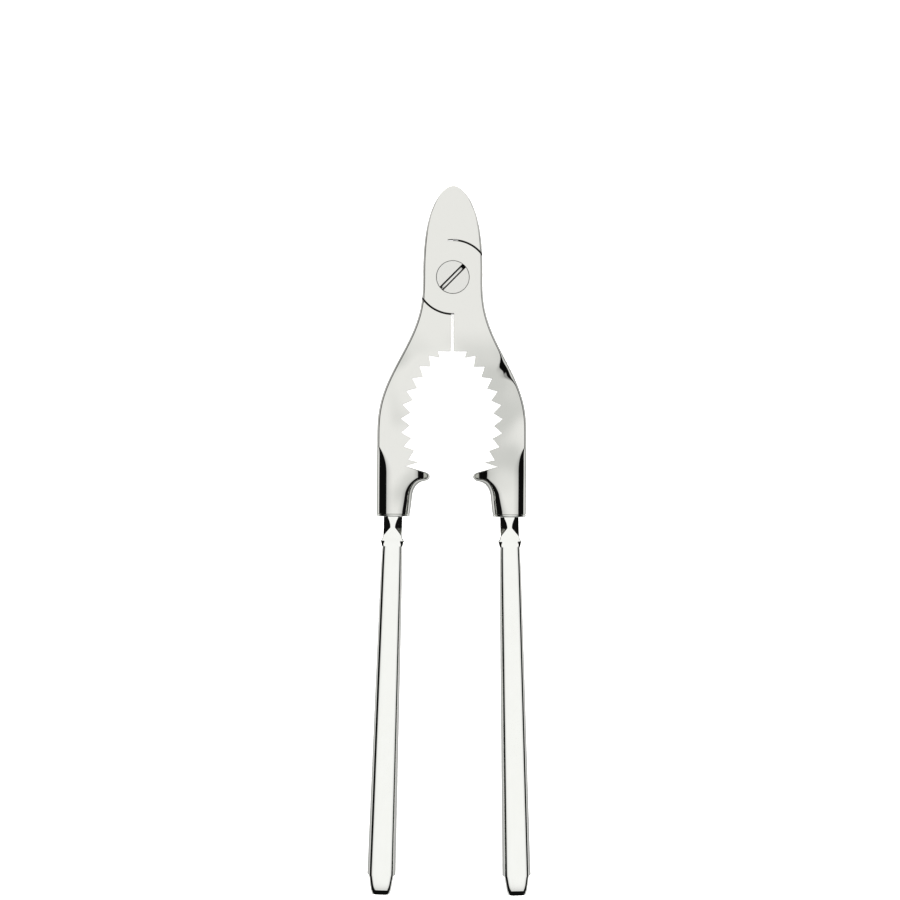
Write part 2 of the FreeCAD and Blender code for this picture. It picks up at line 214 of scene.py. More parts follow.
def within(spots: np.ndarray, outline: np.ndarray) -> np.ndarray:
    """Tells which spots lie inside an outline: a line to the right crosses it an odd number of times."""
    here, there = outline[None], np.roll(outline, -1, axis=0)[None]
    x, y = spots[:, :1], spots[:, 1:]
    spans = (here[..., 1] > y) != (there[..., 1] > y)
    rise = np.where(spans, there[..., 1] - here[..., 1], 1.0)
    cross_x = here[..., 0] + (there[..., 0] - here[..., 0]) * (y - here[..., 1]) / rise
    return np.sum(spans & (x < cross_x), axis=1) % 2 == 1


# ---------------------------------------------------------------------------------------------------------
# Finishes


@dataclass(frozen=True)
class PolishedSteel:
    """Martensitic stainless steel, forged, ground and mirror-polished on a soft wheel.

    The eye sees a near-mirror with a faint warm grey, very shallow waves left by the wheel that bend straight
    reflections a little, hairlines along the tool from the last buffing, and soft greyer patches on the arms,
    which are painted reflections: a greyer colour that stands in for darker parts of the room mirrored there.
    """

    colour: str = "e9e9e4"
    # Painted reflection: the greyer colour of the patches that stand in for darker reflections on the arms.
    colour_painted_reflection: str = "cbccc7"
    roughness: float = 0.045
    # Size of the noise blotches of the painted reflection patches.
    painted_reflection_mm: float = 13.0
    patch_from: float = 0.40
    patch_to: float = 0.66
    # Span along the tool, in mm, over which the painted reflection patches fade in.
    painted_reflection_from: float = -12.0
    painted_reflection_to: float = -24.0
    wave_mm: float = 16.0
    wave_height_mm: float = 0.12
    hairline_mm: float = 0.35
    hairline_height_mm: float = 0.00025

    def make(self) -> bpy.types.Material:
        """Builds the material."""
        material, tree, shader, place = blank_material("mirror_polished_stainless_steel")
        waves = add_node(tree, "ShaderNodeTexNoise", {
            "Vector": place, "Scale": 1 / (self.wave_mm * MM), "Detail": 1.0, "Roughness": 0.35})
        along = add_node(tree, "ShaderNodeMapping", {"Vector": place, "Scale": (1.0, 0.03, 1.0)})
        hairs = add_node(tree, "ShaderNodeTexNoise", {
            "Vector": along.outputs[0], "Scale": 1 / (self.hairline_mm * MM), "Detail": 2.0})
        first = add_node(tree, "ShaderNodeBump", {
            "Height": waves.outputs[0], "Distance": self.wave_height_mm * MM, "Strength": 1.0})
        second = add_node(tree, "ShaderNodeBump", {
            "Height": hairs.outputs[0], "Distance": self.hairline_height_mm * MM, "Strength": 1.0,
            "Normal": first.outputs[0]})
        along_y = add_node(tree, "ShaderNodeSeparateXYZ", {0: place}).outputs["Y"]
        # Painted reflection: greyer patches on the arms, a noise blotch times a band along the tool.
        painted_reflection_band = add_node(tree, "ShaderNodeMapRange", {
            "Value": along_y, "From Min": self.painted_reflection_from * MM, "From Max": self.painted_reflection_to * MM},
            interpolation_type="SMOOTHSTEP")
        painted_reflection_noise = add_node(tree, "ShaderNodeTexNoise", {
            "Vector": place, "Scale": 1 / (self.painted_reflection_mm * MM), "Detail": 1.0, "Roughness": 0.3})
        patches = add_node(tree, "ShaderNodeMapRange", {
            "Value": painted_reflection_noise.outputs[0], "From Min": self.patch_from, "From Max": self.patch_to},
            interpolation_type="SMOOTHSTEP")
        share = add_node(tree, "ShaderNodeMath", {
            0: painted_reflection_band.outputs[0], 1: patches.outputs[0]}, operation="MULTIPLY")
        tone = add_node(tree, "ShaderNodeMix", {
            0: share.outputs[0], 6: linear(self.colour), 7: linear(self.colour_painted_reflection)}, data_type="RGBA")
        gloss = add_node(tree, "ShaderNodeMapRange", {
            "Value": hairs.outputs[0], "To Min": self.roughness * 0.8, "To Max": self.roughness * 1.5})
        set_inputs(tree, shader, {
            "Base Color": tone.outputs[2], "Roughness": gloss.outputs[0], "Normal": second.outputs[0],
            "Metallic": 1.0})
        return material


@dataclass(frozen=True)
class TurnedSteel:
    """Free-cutting steel screw, faced on a lathe and lightly polished.

    The eye sees fine rings round the pivot axis that draw a reflection out into a soft fan.
    """

    colour: str = "ecece8"
    colour_groove: str = "dcdcd7"
    roughness: float = 0.10
    ring_mm: float = 0.22
    ring_height_mm: float = 0.0006

    def make(self) -> bpy.types.Material:
        """Builds the material."""
        material, tree, shader, place = blank_material("turned_screw_steel")
        rings = add_node(tree, "ShaderNodeTexWave", {
            "Vector": place, "Scale": 1 / (20 * self.ring_mm * MM) * 2 * math.pi, "Distortion": 0.4,
            "Detail": 1.0}, wave_type="RINGS", rings_direction="Z", wave_profile="SIN")
        bump = add_node(tree, "ShaderNodeBump", {
            "Height": rings.outputs[1], "Distance": self.ring_height_mm * MM, "Strength": 1.0})
        tone = add_node(tree, "ShaderNodeMix", {
            0: rings.outputs[1], 6: linear(self.colour_groove), 7: linear(self.colour)}, data_type="RGBA")
        set_inputs(tree, shader, {
            "Base Color": tone.outputs[2], "Normal": bump.outputs[0], "Metallic": 1.0,
            "Roughness": self.roughness})
        return material


@dataclass(frozen=True)
class LapSteel:
    """The same steel where the levers slide on each other: surface-ground and unpolished, and painted
    near-black.

    The near-black is painted shade for the narrow groove between the levers, the screw's bore and the sides of
    its slot. The eye sees an almost black grey with fine grinding lines along the tool.
    """

    # Painted shade: near-black, so the lap groove, the bore and the slot's sides read dark.
    colour: str = "1e1c1b"
    colour_bare: str = "3a3835"
    roughness: float = 0.38
    grind_mm: float = 0.25
    grind_height_mm: float = 0.004

    def make(self) -> bpy.types.Material:
        """Builds the material."""
        material, tree, shader, place = blank_material("lap_steel_painted_shade")
        along = add_node(tree, "ShaderNodeMapping", {"Vector": place, "Scale": (1.0, 0.05, 1.0)})
        lines = add_node(tree, "ShaderNodeTexNoise", {
            "Vector": along.outputs[0], "Scale": 1 / (self.grind_mm * MM), "Detail": 2.0})
        bump = add_node(tree, "ShaderNodeBump", {
            "Height": lines.outputs[0], "Distance": self.grind_height_mm * MM, "Strength": 1.0})
        tone = add_node(tree, "ShaderNodeMix", {
            0: lines.outputs[0], 6: linear(self.colour), 7: linear(self.colour_bare)}, data_type="RGBA")
        set_inputs(tree, shader, {
            "Base Color": tone.outputs[2], "Normal": bump.outputs[0], "Metallic": 1.0,
            "Roughness": self.roughness})
        return material


@dataclass(frozen=True)
class PolishedSilver:
    """Sterling silver sheet, raised in halves, soldered and hand-polished with rouge.

    The eye sees the whitest of the metals, soft shallow dents from the hand polish, and a faint film that
    has settled unevenly.
    """

    colour: str = "fafbf7"
    colour_film: str = "f6f7f2"
    roughness: float = 0.06
    dent_mm: float = 7.0
    dent_height_mm: float = 0.004
    film_mm: float = 3.0
    scratch_mm: float = 0.3

    def make(self) -> bpy.types.Material:
        """Builds the material."""
        material, tree, shader, place = blank_material("polished_sterling_silver")
        dents = add_node(tree, "ShaderNodeTexNoise", {
            "Vector": place, "Scale": 1 / (self.dent_mm * MM), "Detail": 1.0})
        film = add_node(tree, "ShaderNodeTexNoise", {
            "Vector": place, "Scale": 1 / (self.film_mm * MM), "Detail": 3.0})
        scratches = add_node(tree, "ShaderNodeTexNoise", {
            "Vector": place, "Scale": 1 / (self.scratch_mm * MM), "Detail": 2.0, "Distortion": 1.5})
        bump = add_node(tree, "ShaderNodeBump", {
            "Height": dents.outputs[0], "Distance": self.dent_height_mm * MM, "Strength": 1.0})
        tone = add_node(tree, "ShaderNodeMix", {
            0: film.outputs[0], 6: linear(self.colour), 7: linear(self.colour_film)}, data_type="RGBA")
        gloss = add_node(tree, "ShaderNodeMapRange", {
            "Value": scratches.outputs[0], "To Min": self.roughness * 0.7, "To Max": self.roughness * 1.4})
        set_inputs(tree, shader, {
            "Base Color": tone.outputs[2], "Roughness": gloss.outputs[0], "Normal": bump.outputs[0],
            "Metallic": 1.0})
        return material


@dataclass(frozen=True)
class PitchCement:
    """Pitch and plaster cement, poured warm into a hollow handle and set.

    Dull, dark brown-grey and grainy. It only shows where a handle is opened.
    """

    colour: str = "6b6358"
    colour_grain: str = "948b7c"
    roughness: float = 0.85
    grain_mm: float = 0.5
    grain_height_mm: float = 0.05

    def make(self) -> bpy.types.Material:
        """Builds the material."""
        material, tree, shader, place = blank_material("pitch_and_plaster_cement")
        grain = add_node(tree, "ShaderNodeTexNoise", {
            "Vector": place, "Scale": 1 / (self.grain_mm * MM), "Detail": 4.0})
        bump = add_node(tree, "ShaderNodeBump", {
            "Height": grain.outputs[0], "Distance": self.grain_height_mm * MM, "Strength": 1.0})
        tone = add_node(tree, "ShaderNodeMix", {
            0: grain.outputs[0], 6: linear(self.colour), 7: linear(self.colour_grain)}, data_type="RGBA")
        set_inputs(tree, shader, {
            "Base Color": tone.outputs[2], "Normal": bump.outputs[0], "Roughness": self.roughness,
            "IOR": 1.5})
        return material


@dataclass(frozen=True)
class StudioPaper:
    """Matt white background paper under the tool, with the faint tooth of uncoated stock."""

    colour: str = "f6f6f4"
    glow: float = 0.85
    tooth_mm: float = 1.2

    def make(self) -> bpy.types.Material:
        """Builds the material."""
        material, tree, shader, place = blank_material("matt_white_paper")
        tooth = add_node(tree, "ShaderNodeTexNoise", {"Vector": place, "Scale": 1 / (self.tooth_mm * MM)})
        bump = add_node(tree, "ShaderNodeBump", {"Height": tooth.outputs[0], "Distance": 0.02 * MM})
        set_inputs(tree, shader, {
            "Normal": bump.outputs[0], "Base Color": linear(self.colour), "Roughness": 0.9,
            "Emission Color": linear(self.colour), "Emission Strength": self.glow})
        return material


def dress(piece: bpy.types.Object, material: bpy.types.Material) -> None:
    """Gives a piece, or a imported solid, one material all over."""
    if not piece.material_slots:
        piece.data.materials.append(material)
    for place in piece.material_slots:
        place.material = material


# ---------------------------------------------------------------------------------------------------------
# The tool


@dataclass(frozen=True)
class LeverFrame:
    """Where the right-hand handle stands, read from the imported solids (millimetres, degrees)."""

    tip_y: float
    socket_x: float
    socket_end_y: float
    mid_plane: float
    splay: float
    shells_start: float
    shells_end: float
    handle_end: float

    @classmethod
    def read(cls) -> "LeverFrame":
        """Reads the handle's place from the boxes of the seat plate, the shell and the end plate."""
        seat_low, seat_high = (np.array(corner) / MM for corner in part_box("right_seat_plate"))
        shell_low, shell_high = (np.array(corner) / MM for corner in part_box("right_handle_front_shell"))
        end_low, end_high = (np.array(corner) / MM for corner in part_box("right_handle_end_plate"))
        across = (end_low[0] + end_high[0] - seat_low[0] - seat_high[0]) / 2
        along = seat_high[1] - (end_low[1] + end_high[1]) / 2
        splay = math.atan2(across, along)
        corner = (shell_high[0] - shell_low[0] - 90 * math.sin(splay)) / 2 * math.sin(splay)
        return cls(
            tip_y=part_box("right_jaw")[1][1] / MM,
            socket_x=(seat_low[0] + seat_high[0]) / 2,
            socket_end_y=seat_high[1],
            mid_plane=(seat_low[2] + seat_high[2]) / 2,
            splay=splay,
            shells_start=(seat_high[1] - shell_high[1] + corner) / math.cos(splay),
            shells_end=(seat_high[1] - shell_low[1] - corner) / math.cos(splay),
            handle_end=(seat_high[1] - end_low[1] - corner) / math.cos(splay),
        )

    def place(self, side: Side, across: np.ndarray, at: np.ndarray, up: np.ndarray) -> np.ndarray:
        """Puts points given in the handle's own frame on one of the levers.

        The handle's line leaves the socket's end downwards, turned outwards by the splay.

        Args:
            side: The lever.
            across: Distance to the right of the handle's line.
            at: Distance below the socket's end.
            up: Height over the mid-plane.

        Returns:
            Points in the tool's frame, x, y and z in the last axis.
        """
        across, at, up = np.broadcast_arrays(across, at, up)
        c, s = math.cos(self.splay), math.sin(self.splay)
        points = np.stack([
            self.socket_x + across * c + at * s,
            self.socket_end_y + across * s - at * c,
            self.mid_plane + up], axis=-1)
        return points if side is Side.RIGHT else turn_round(points, self.mid_plane)


@dataclass
class HollowHandle:
    """A hollow handle: two half shells, the end plate that closes them and the cement inside (mm)."""

    frame: LeverFrame
    side: Side
    silver: bpy.types.Material
    cement: bpy.types.Material
    top_width: float = 5.2
    end_width: float = 7.38
    quick_gain: float = 0.34
    quick_length: float = 4.0
    top_depth: float = 5.6
    end_depth: float = 8.0
    top_bulge: float = 0.17
    end_bulge: float = 0.5
    corner: float = 1.2
    corner_top: float = 1.0
    corner_length: float = 5.0
    crown: float = 0.05
    wall: float = 0.6
    taper_length: float = 3.8
    step_width: float = 0.9
    step_length: float = 0.35
    taper_width_loss: float = 1.1
    taper_depth_loss: float = 0.7
    taper_bulge: float = 0.1
    plate_width_loss: float = 0.7
    plate_depth_loss: float = 1.4

    @property
    def taper_start(self) -> float:
        """Where the swelling sides stop."""
        return self.frame.shells_end - self.taper_length

    def half_ring(
        self, width: np.ndarray, depth: np.ndarray, bulge: np.ndarray, corner: np.ndarray
    ) -> np.ndarray:
        """Half of the handle's section, from the right-hand seam over the front to the left-hand seam.

        A side swells beyond the corner by the bulge times one minus the square of its height; the corner is a
        quarter circle; the front rises by the crown times one minus the square of the distance from the
        middle.

        Args:
            width: Whole width at each station, as a column.
            depth: Whole depth at each station, as a column.
            bulge: Swelling of the sides at each station, as a column.
            corner: Radius of the corners at each station, as a column.

        Returns:
            Grid of (across, up) pairs, station by station.
        """
        rise = np.linspace(0, 1, 10)[None, :-1]
        turn = np.linspace(0, math.pi / 2, 8)[None, :]
        run = np.linspace(1, 0, 8)[None, 1:]
        side = width / 2 - bulge
        shoulder = depth / 2 - self.crown - corner
        across = np.concatenate([
            side + bulge * (1 - rise**2), side - corner + corner * np.cos(turn), (side - corner) * run],
            axis=1)
        up = np.concatenate([
            shoulder * rise, shoulder + corner * np.sin(turn), depth / 2 - self.crown * run**2], axis=1)
        across = np.concatenate([across, -across[:, -2::-1]], axis=1)
        up = np.concatenate([up, up[:, -2::-1]], axis=1)
        return np.stack([across, up], axis=-1)

    def stations(self) -> tuple[np.ndarray, np.ndarray, np.ndarray, np.ndarray]:
        """Distances below the socket's end with the width, depth and bulge there.

        The width grows evenly plus a quick gain that dies away exponentially below the ferrule. At the end it
        drops by a small step and then narrows evenly while the depth falls off with the fourth power of the
        distance.

        Returns:
            Four columns: distance, width, depth and bulge.
        """
        start, stop = self.frame.shells_start, self.taper_start
        body = np.linspace(start, stop, 56)
        run = (body - start) / (stop - start)
        quick = self.quick_gain * (1 - np.exp(-(body - start) / self.quick_length))
        width = self.top_width + (self.end_width - self.top_width - self.quick_gain) * run + quick
        depth = self.top_depth + (self.end_depth - self.top_depth) * run
        taper = np.linspace(stop + self.step_length, self.frame.shells_end, 10)
        share = (taper - stop) / self.taper_length
        taper_width = self.end_width - self.step_width - self.taper_width_loss * share
        taper_depth = self.end_depth - self.taper_depth_loss * share**4
        bulge = self.top_bulge + (self.end_bulge - self.top_bulge) * run
        return (
            np.concatenate([body, taper])[:, None],
            np.concatenate([width, taper_width])[:, None],
            np.concatenate([depth, taper_depth])[:, None],
            np.concatenate([bulge, np.full_like(taper, self.taper_bulge)])[:, None],
        )

    def shell(self, layer: Layer) -> bpy.types.Object:
        """One half shell: an outer half ring and one a wall's thickness in, carried down the handle.

        Args:
            layer: Front or back.

        Returns:
            The closed shell.
        """
        at, width, depth, bulge = self.stations()
        corner = self.corner - (self.corner - self.corner_top) * np.exp((at[0] - at) / self.corner_length)
        outer = self.half_ring(width, depth, bulge, corner)
        inset = 2 * self.wall
        inner_width = width - inset - 2 * (bulge - self.taper_bulge)
        inner = self.half_ring(inner_width, depth - inset, np.full_like(at, self.taper_bulge), corner / 2)
        ring = np.concatenate([outer, inner[:, ::-1]], axis=1)
        sign = 1 if layer is Layer.FRONT else -1
        if self.side is Side.LEFT:
            sign = -sign
        rings = self.frame.place(self.side, sign * ring[..., 0], at, sign * ring[..., 1])
        node = f"{self.side.value}_handle_{layer.value}_shell"
        piece = skin(f"{self.side.value}_silver_{layer.value}_shell", rings)
        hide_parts(node)
        return piece

    def end_plate(self) -> bpy.types.Object:
        """The plate over the shells' end, which shrinks to a smaller flat end with rounded rims."""
        start, stop = self.frame.shells_end, self.frame.handle_end
        share = np.array([0.0, 0.08, 0.5, 0.86, 0.96, 1.0])[:, None]
        round_off = np.array([0.0, 0.0, 0.0, 0.0, 0.07, 0.22])[:, None]
        width0 = self.end_width - self.step_width - self.taper_width_loss
        depth0 = self.end_depth - self.taper_depth_loss
        width = width0 - self.plate_width_loss * share - 2 * round_off
        depth = depth0 - self.plate_depth_loss * share - 2 * round_off
        bulge, corner = np.full_like(share, self.taper_bulge), np.full_like(share, self.corner)
        half = self.half_ring(width, depth, bulge, corner)
        ring = np.concatenate([half, -half[:, 1:-1]], axis=1)
        rings = self.frame.place(self.side, ring[..., 0], start + (stop - start) * share, ring[..., 1])
        piece = skin(f"{self.side.value}_silver_end_plate", rings, 24.0)
        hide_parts(f"{self.side.value}_handle_end_plate")
        return piece

    def build(self) -> list[bpy.types.Object]:
        """Makes and dresses the handle, and returns its pieces."""
        pieces = [self.shell(Layer.FRONT), self.shell(Layer.BACK), self.end_plate()]
        for piece in pieces:
            dress(piece, self.silver)
            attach(piece, f"{self.side.value}_lever")
        filling = bpy.data.objects[f"{self.side.value}_handle_cement"]
        dress(filling, self.cement)
        return [*pieces, filling]


@dataclass
class Neck:
    """The seat plate under a socket and the scalloped ferrule below it (mm)."""

    frame: LeverFrame
    side: Side
    silver: bpy.types.Material
    seat_width: float = 8.6
    seat_depth: float = 7.9
    seat_thickness: float = 0.7
    seat_rim: float = 0.34
    tang_radius: float = 1.55
    neck_width: float = 4.7
    chamfer_top: float = 0.75
    chamfer_waist: float = 1.78
    deepening_power: float = 1.3
    chamfer_point: float = 0.1
    flare_chamfer: float = 0.08
    chamfer_foot: float = 0.5
    chamfer_drop: float = 0.75
    undercut: float = 0.55
    depth_lead: float = 0.6
    waist_at: float = 3.5
    neck_end_at: float = 5.6
    shoulder_at: float = 6.9
    shoulder_reach: float = 0.68
    foot_width: float = 5.2
    foot_depth: float = 5.6

    def seat_plate(self) -> bpy.types.Object:
        """The seat plate: a flat-sided loop with small rounded rims, carried round the socket's ellipse.

        Returns:
            The closed plate, with its round hole for the tang.
        """
        turn = np.linspace(0, math.pi / 2, 8)
        rim, thick = self.seat_rim, self.seat_thickness
        inward = np.concatenate([rim * (1 - np.sin(turn)), rim * (1 - np.cos(turn))])
        drop = np.concatenate([rim * (1 - np.cos(turn)), thick - rim * (1 - np.sin(turn))])
        angle = np.linspace(0, 2 * math.pi, 96, endpoint=False)[None, :]
        outer = np.stack([
            (self.seat_width / 2 - inward[:, None]) * np.cos(angle),
            np.repeat(drop[:, None], 96, axis=1),
            (self.seat_depth / 2 - inward[:, None]) * np.sin(angle)], axis=-1)
        hole = np.stack([
            self.tang_radius * np.cos(angle).repeat(2, axis=0),
            np.array([[thick], [0.0]]).repeat(96, axis=1),
            self.tang_radius * np.sin(angle).repeat(2, axis=0)], axis=-1)
        grid = np.concatenate([outer, hole])
        points = np.stack([
            self.frame.socket_x + grid[..., 0],
            self.frame.socket_end_y - grid[..., 1],
            self.frame.mid_plane + grid[..., 2]], axis=-1)
        if self.side is Side.LEFT:
            points = turn_round(points, self.frame.mid_plane)
        faces = grid_faces(len(grid), 96, wrap_rows=True)
        piece = put_mesh(f"{self.side.value}_silver_seat_plate", points, faces)
        piece.data.set_sharp_from_angle(angle=math.radians(40))
        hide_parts(f"{self.side.value}_seat_plate")
        return piece

    def ferrule(self) -> bpy.types.Object:
        """The ferrule: a square bar whose corner cuts deepen along a sine and run out, then a shoulder.

        Returns:
            The closed ferrule.
        """
        neck = np.linspace(self.seat_thickness, self.neck_end_at, 40)
        above = np.clip(neck / self.waist_at, 0, 1)
        below = np.clip((neck - self.waist_at) / (self.neck_end_at - self.waist_at), 0, 1)
        deepening = np.sin(above * math.pi / 2) ** self.deepening_power
        chamfer = self.chamfer_top + (self.chamfer_waist - self.chamfer_top) * deepening
        chamfer -= (self.chamfer_waist - self.chamfer_point) * below
        flare = np.linspace(0, 1, 13)[1:]
        ease = 1 - np.sqrt(np.clip(1 - flare**2, 0, 1)) * 0.5 - 0.5 * (1 - flare)
        shoulder = self.neck_end_at + (self.shoulder_at - self.neck_end_at) * flare
        under = np.linspace(0, 1, 9)
        foot = self.shoulder_at + 0.04 + (self.frame.shells_start - self.shoulder_at - 0.04) * under
        half_neck, half_top = self.neck_width / 2, self.neck_width / 2 + self.shoulder_reach
        at = np.concatenate([neck, shoulder, foot])
        half_width = np.concatenate([
            np.full_like(neck, half_neck), half_neck + self.shoulder_reach * ease,
            half_top + (self.foot_width / 2 - half_top) * under**0.6])
        start = self.neck_end_at - self.depth_lead
        rise = np.clip((at - start) / (self.frame.shells_start - start), 0, 1)
        half_depth = half_neck + (self.foot_depth / 2 - half_neck) * rise**2 * (3 - 2 * rise)
        chamfer = np.concatenate([
            chamfer, self.chamfer_point + self.flare_chamfer * flare,
            self.chamfer_foot + self.undercut * np.clip(1 - under / 0.6, 0, 1)])
        piece = skin(
            f"{self.side.value}_silver_ferrule",
            self.cut_corner_rings(at[:, None], half_width[:, None], half_depth[:, None], chamfer[:, None]),
            22.0)
        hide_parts(f"{self.side.value}_ferrule")
        return piece

    def cut_corner_rings(
        self, at: np.ndarray, half_width: np.ndarray, half_depth: np.ndarray, chamfer: np.ndarray
    ) -> np.ndarray:
        """Rectangles with their four corners cut, one for each station.

        Each quarter runs from the middle of a side to the cut, along it and to the middle of the next side.

        Args:
            at: Distance below the socket's end, as a column.
            half_width: Half the width, as a column.
            half_depth: Half the depth, as a column.
            chamfer: How much of the width the cut takes, as a column; the depth loses a fixed share of it.

        Returns:
            Grid of points in the tool's frame.
        """
        share = np.linspace(0, 1, 5)[None, :]
        drop = self.chamfer_drop * chamfer
        across = np.concatenate([
            half_width + 0 * share, half_width - chamfer * share[:, 1:],
            (half_width - chamfer) * (1 - share[:, 1:])], axis=1)
        up = np.concatenate([
            (half_depth - drop) * share, half_depth - drop * (1 - share[:, 1:]),
            half_depth + 0 * share[:, 1:]], axis=1)
        half_across = np.concatenate([across, -across[:, -2::-1]], axis=1)
        half_up = np.concatenate([up, up[:, -2::-1]], axis=1)
        ring_across = np.concatenate([half_across, -half_across[:, 1:-1]], axis=1)
        ring_up = np.concatenate([half_up, -half_up[:, 1:-1]], axis=1)
        return self.frame.place(self.side, ring_across, at, ring_up)

    def build(self) -> list[bpy.types.Object]:
        """Makes and dresses the plate and the ferrule."""
        pieces = [self.seat_plate(), self.ferrule()]
        for piece in pieces:
            dress(piece, self.silver)
            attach(piece, f"{self.side.value}_lever")
        return pieces


@dataclass
class Patchwork:
    """Points and four-cornered faces gathered for one mesh, each face with the number of its finish.

    A triangle repeats its last corner.
    """

    points: list[np.ndarray] = field(default_factory=list)
    faces: list[np.ndarray] = field(default_factory=list)
    finishes: list[np.ndarray] = field(default_factory=list)

    def add(self, points: np.ndarray, faces: np.ndarray, finish: np.ndarray | int = 0) -> None:
        """Adds a patch.

        Args:
            points: The patch's points.
            faces: Four corners of each face, numbered within the patch.
            finish: Number of the finish, for all faces or for each.
        """
        start = sum(len(patch) for patch in self.points)
        self.points.append(points.reshape(-1, 3))
        self.faces.append(faces + start)
        self.finishes.append(np.broadcast_to(finish, len(faces)))

    def add_strip(self, rings: np.ndarray, finish: np.ndarray | int = 0) -> None:
        """Adds the faces between rings that run round without a seam.

        Args:
            rings: Grid of points, uppermost ring first.
            finish: Number of the finish, for all faces or for each.
        """
        rows, columns, _ = rings.shape
        index = np.arange(rows * columns).reshape(rows, columns)
        here, there = index[:-1], index[1:]
        faces = np.stack([here, there, np.roll(there, -1, 1), np.roll(here, -1, 1)], -1).reshape(-1, 4)
        self.add(rings, faces, finish)

    def mesh(self, name: str) -> bpy.types.Object:
        """Welds the patches where they share points, drops empty faces and makes the object.

        Args:
            name: The piece's name.

        Returns:
            The closed piece, shaded smooth with crisp corners.
        """
        points, number = np.unique(np.round(np.concatenate(self.points), 5), axis=0, return_inverse=True)
        faces = number.reshape(-1)[np.concatenate(self.faces)]
        finishes = np.concatenate(self.finishes)
        same = faces == np.roll(faces, -1, axis=1)
        crossed = (faces[:, 0] == faces[:, 2]) | (faces[:, 1] == faces[:, 3])
        whole = (same.sum(axis=1) == 0) & ~crossed
        third = (same.sum(axis=1) == 1) & ~crossed
        corners = faces[whole].tolist() + faces[third][~same[third]].reshape(-1, 3).tolist()
        piece = put_mesh(name, points, corners)
        piece.data.polygons.foreach_set("material_index", np.concatenate([finishes[whole], finishes[third]]))
        piece.data.set_sharp_from_angle(angle=math.radians(28))
        return piece


@dataclass(frozen=True)
class Stretch:
    """One stretch of an outline, with how far in and how deep its rim is rounded (mm)."""

    points: np.ndarray
    reach: np.ndarray | float
    depth: np.ndarray | float
    # ground marks a lap face, which takes the near-black lap material as painted shade in the groove between
    # the levers.
    ground: bool = False


@dataclass(frozen=True)
class Edge:
    """A whole outline, point by point, with its rounding and the number of the stretch it belongs to (mm)."""

    points: np.ndarray
    reach: np.ndarray
    depth: np.ndarray
    ground: np.ndarray
    owner: np.ndarray
    names: list[str]

    def first(self, name: str) -> int:
        """Number of a stretch's first point."""
        return int(np.flatnonzero(self.owner == self.names.index(name))[0])

    def last(self, name: str) -> int:
        """Number of a stretch's last point."""
        return int(np.flatnonzero(self.owner == self.names.index(name))[-1])


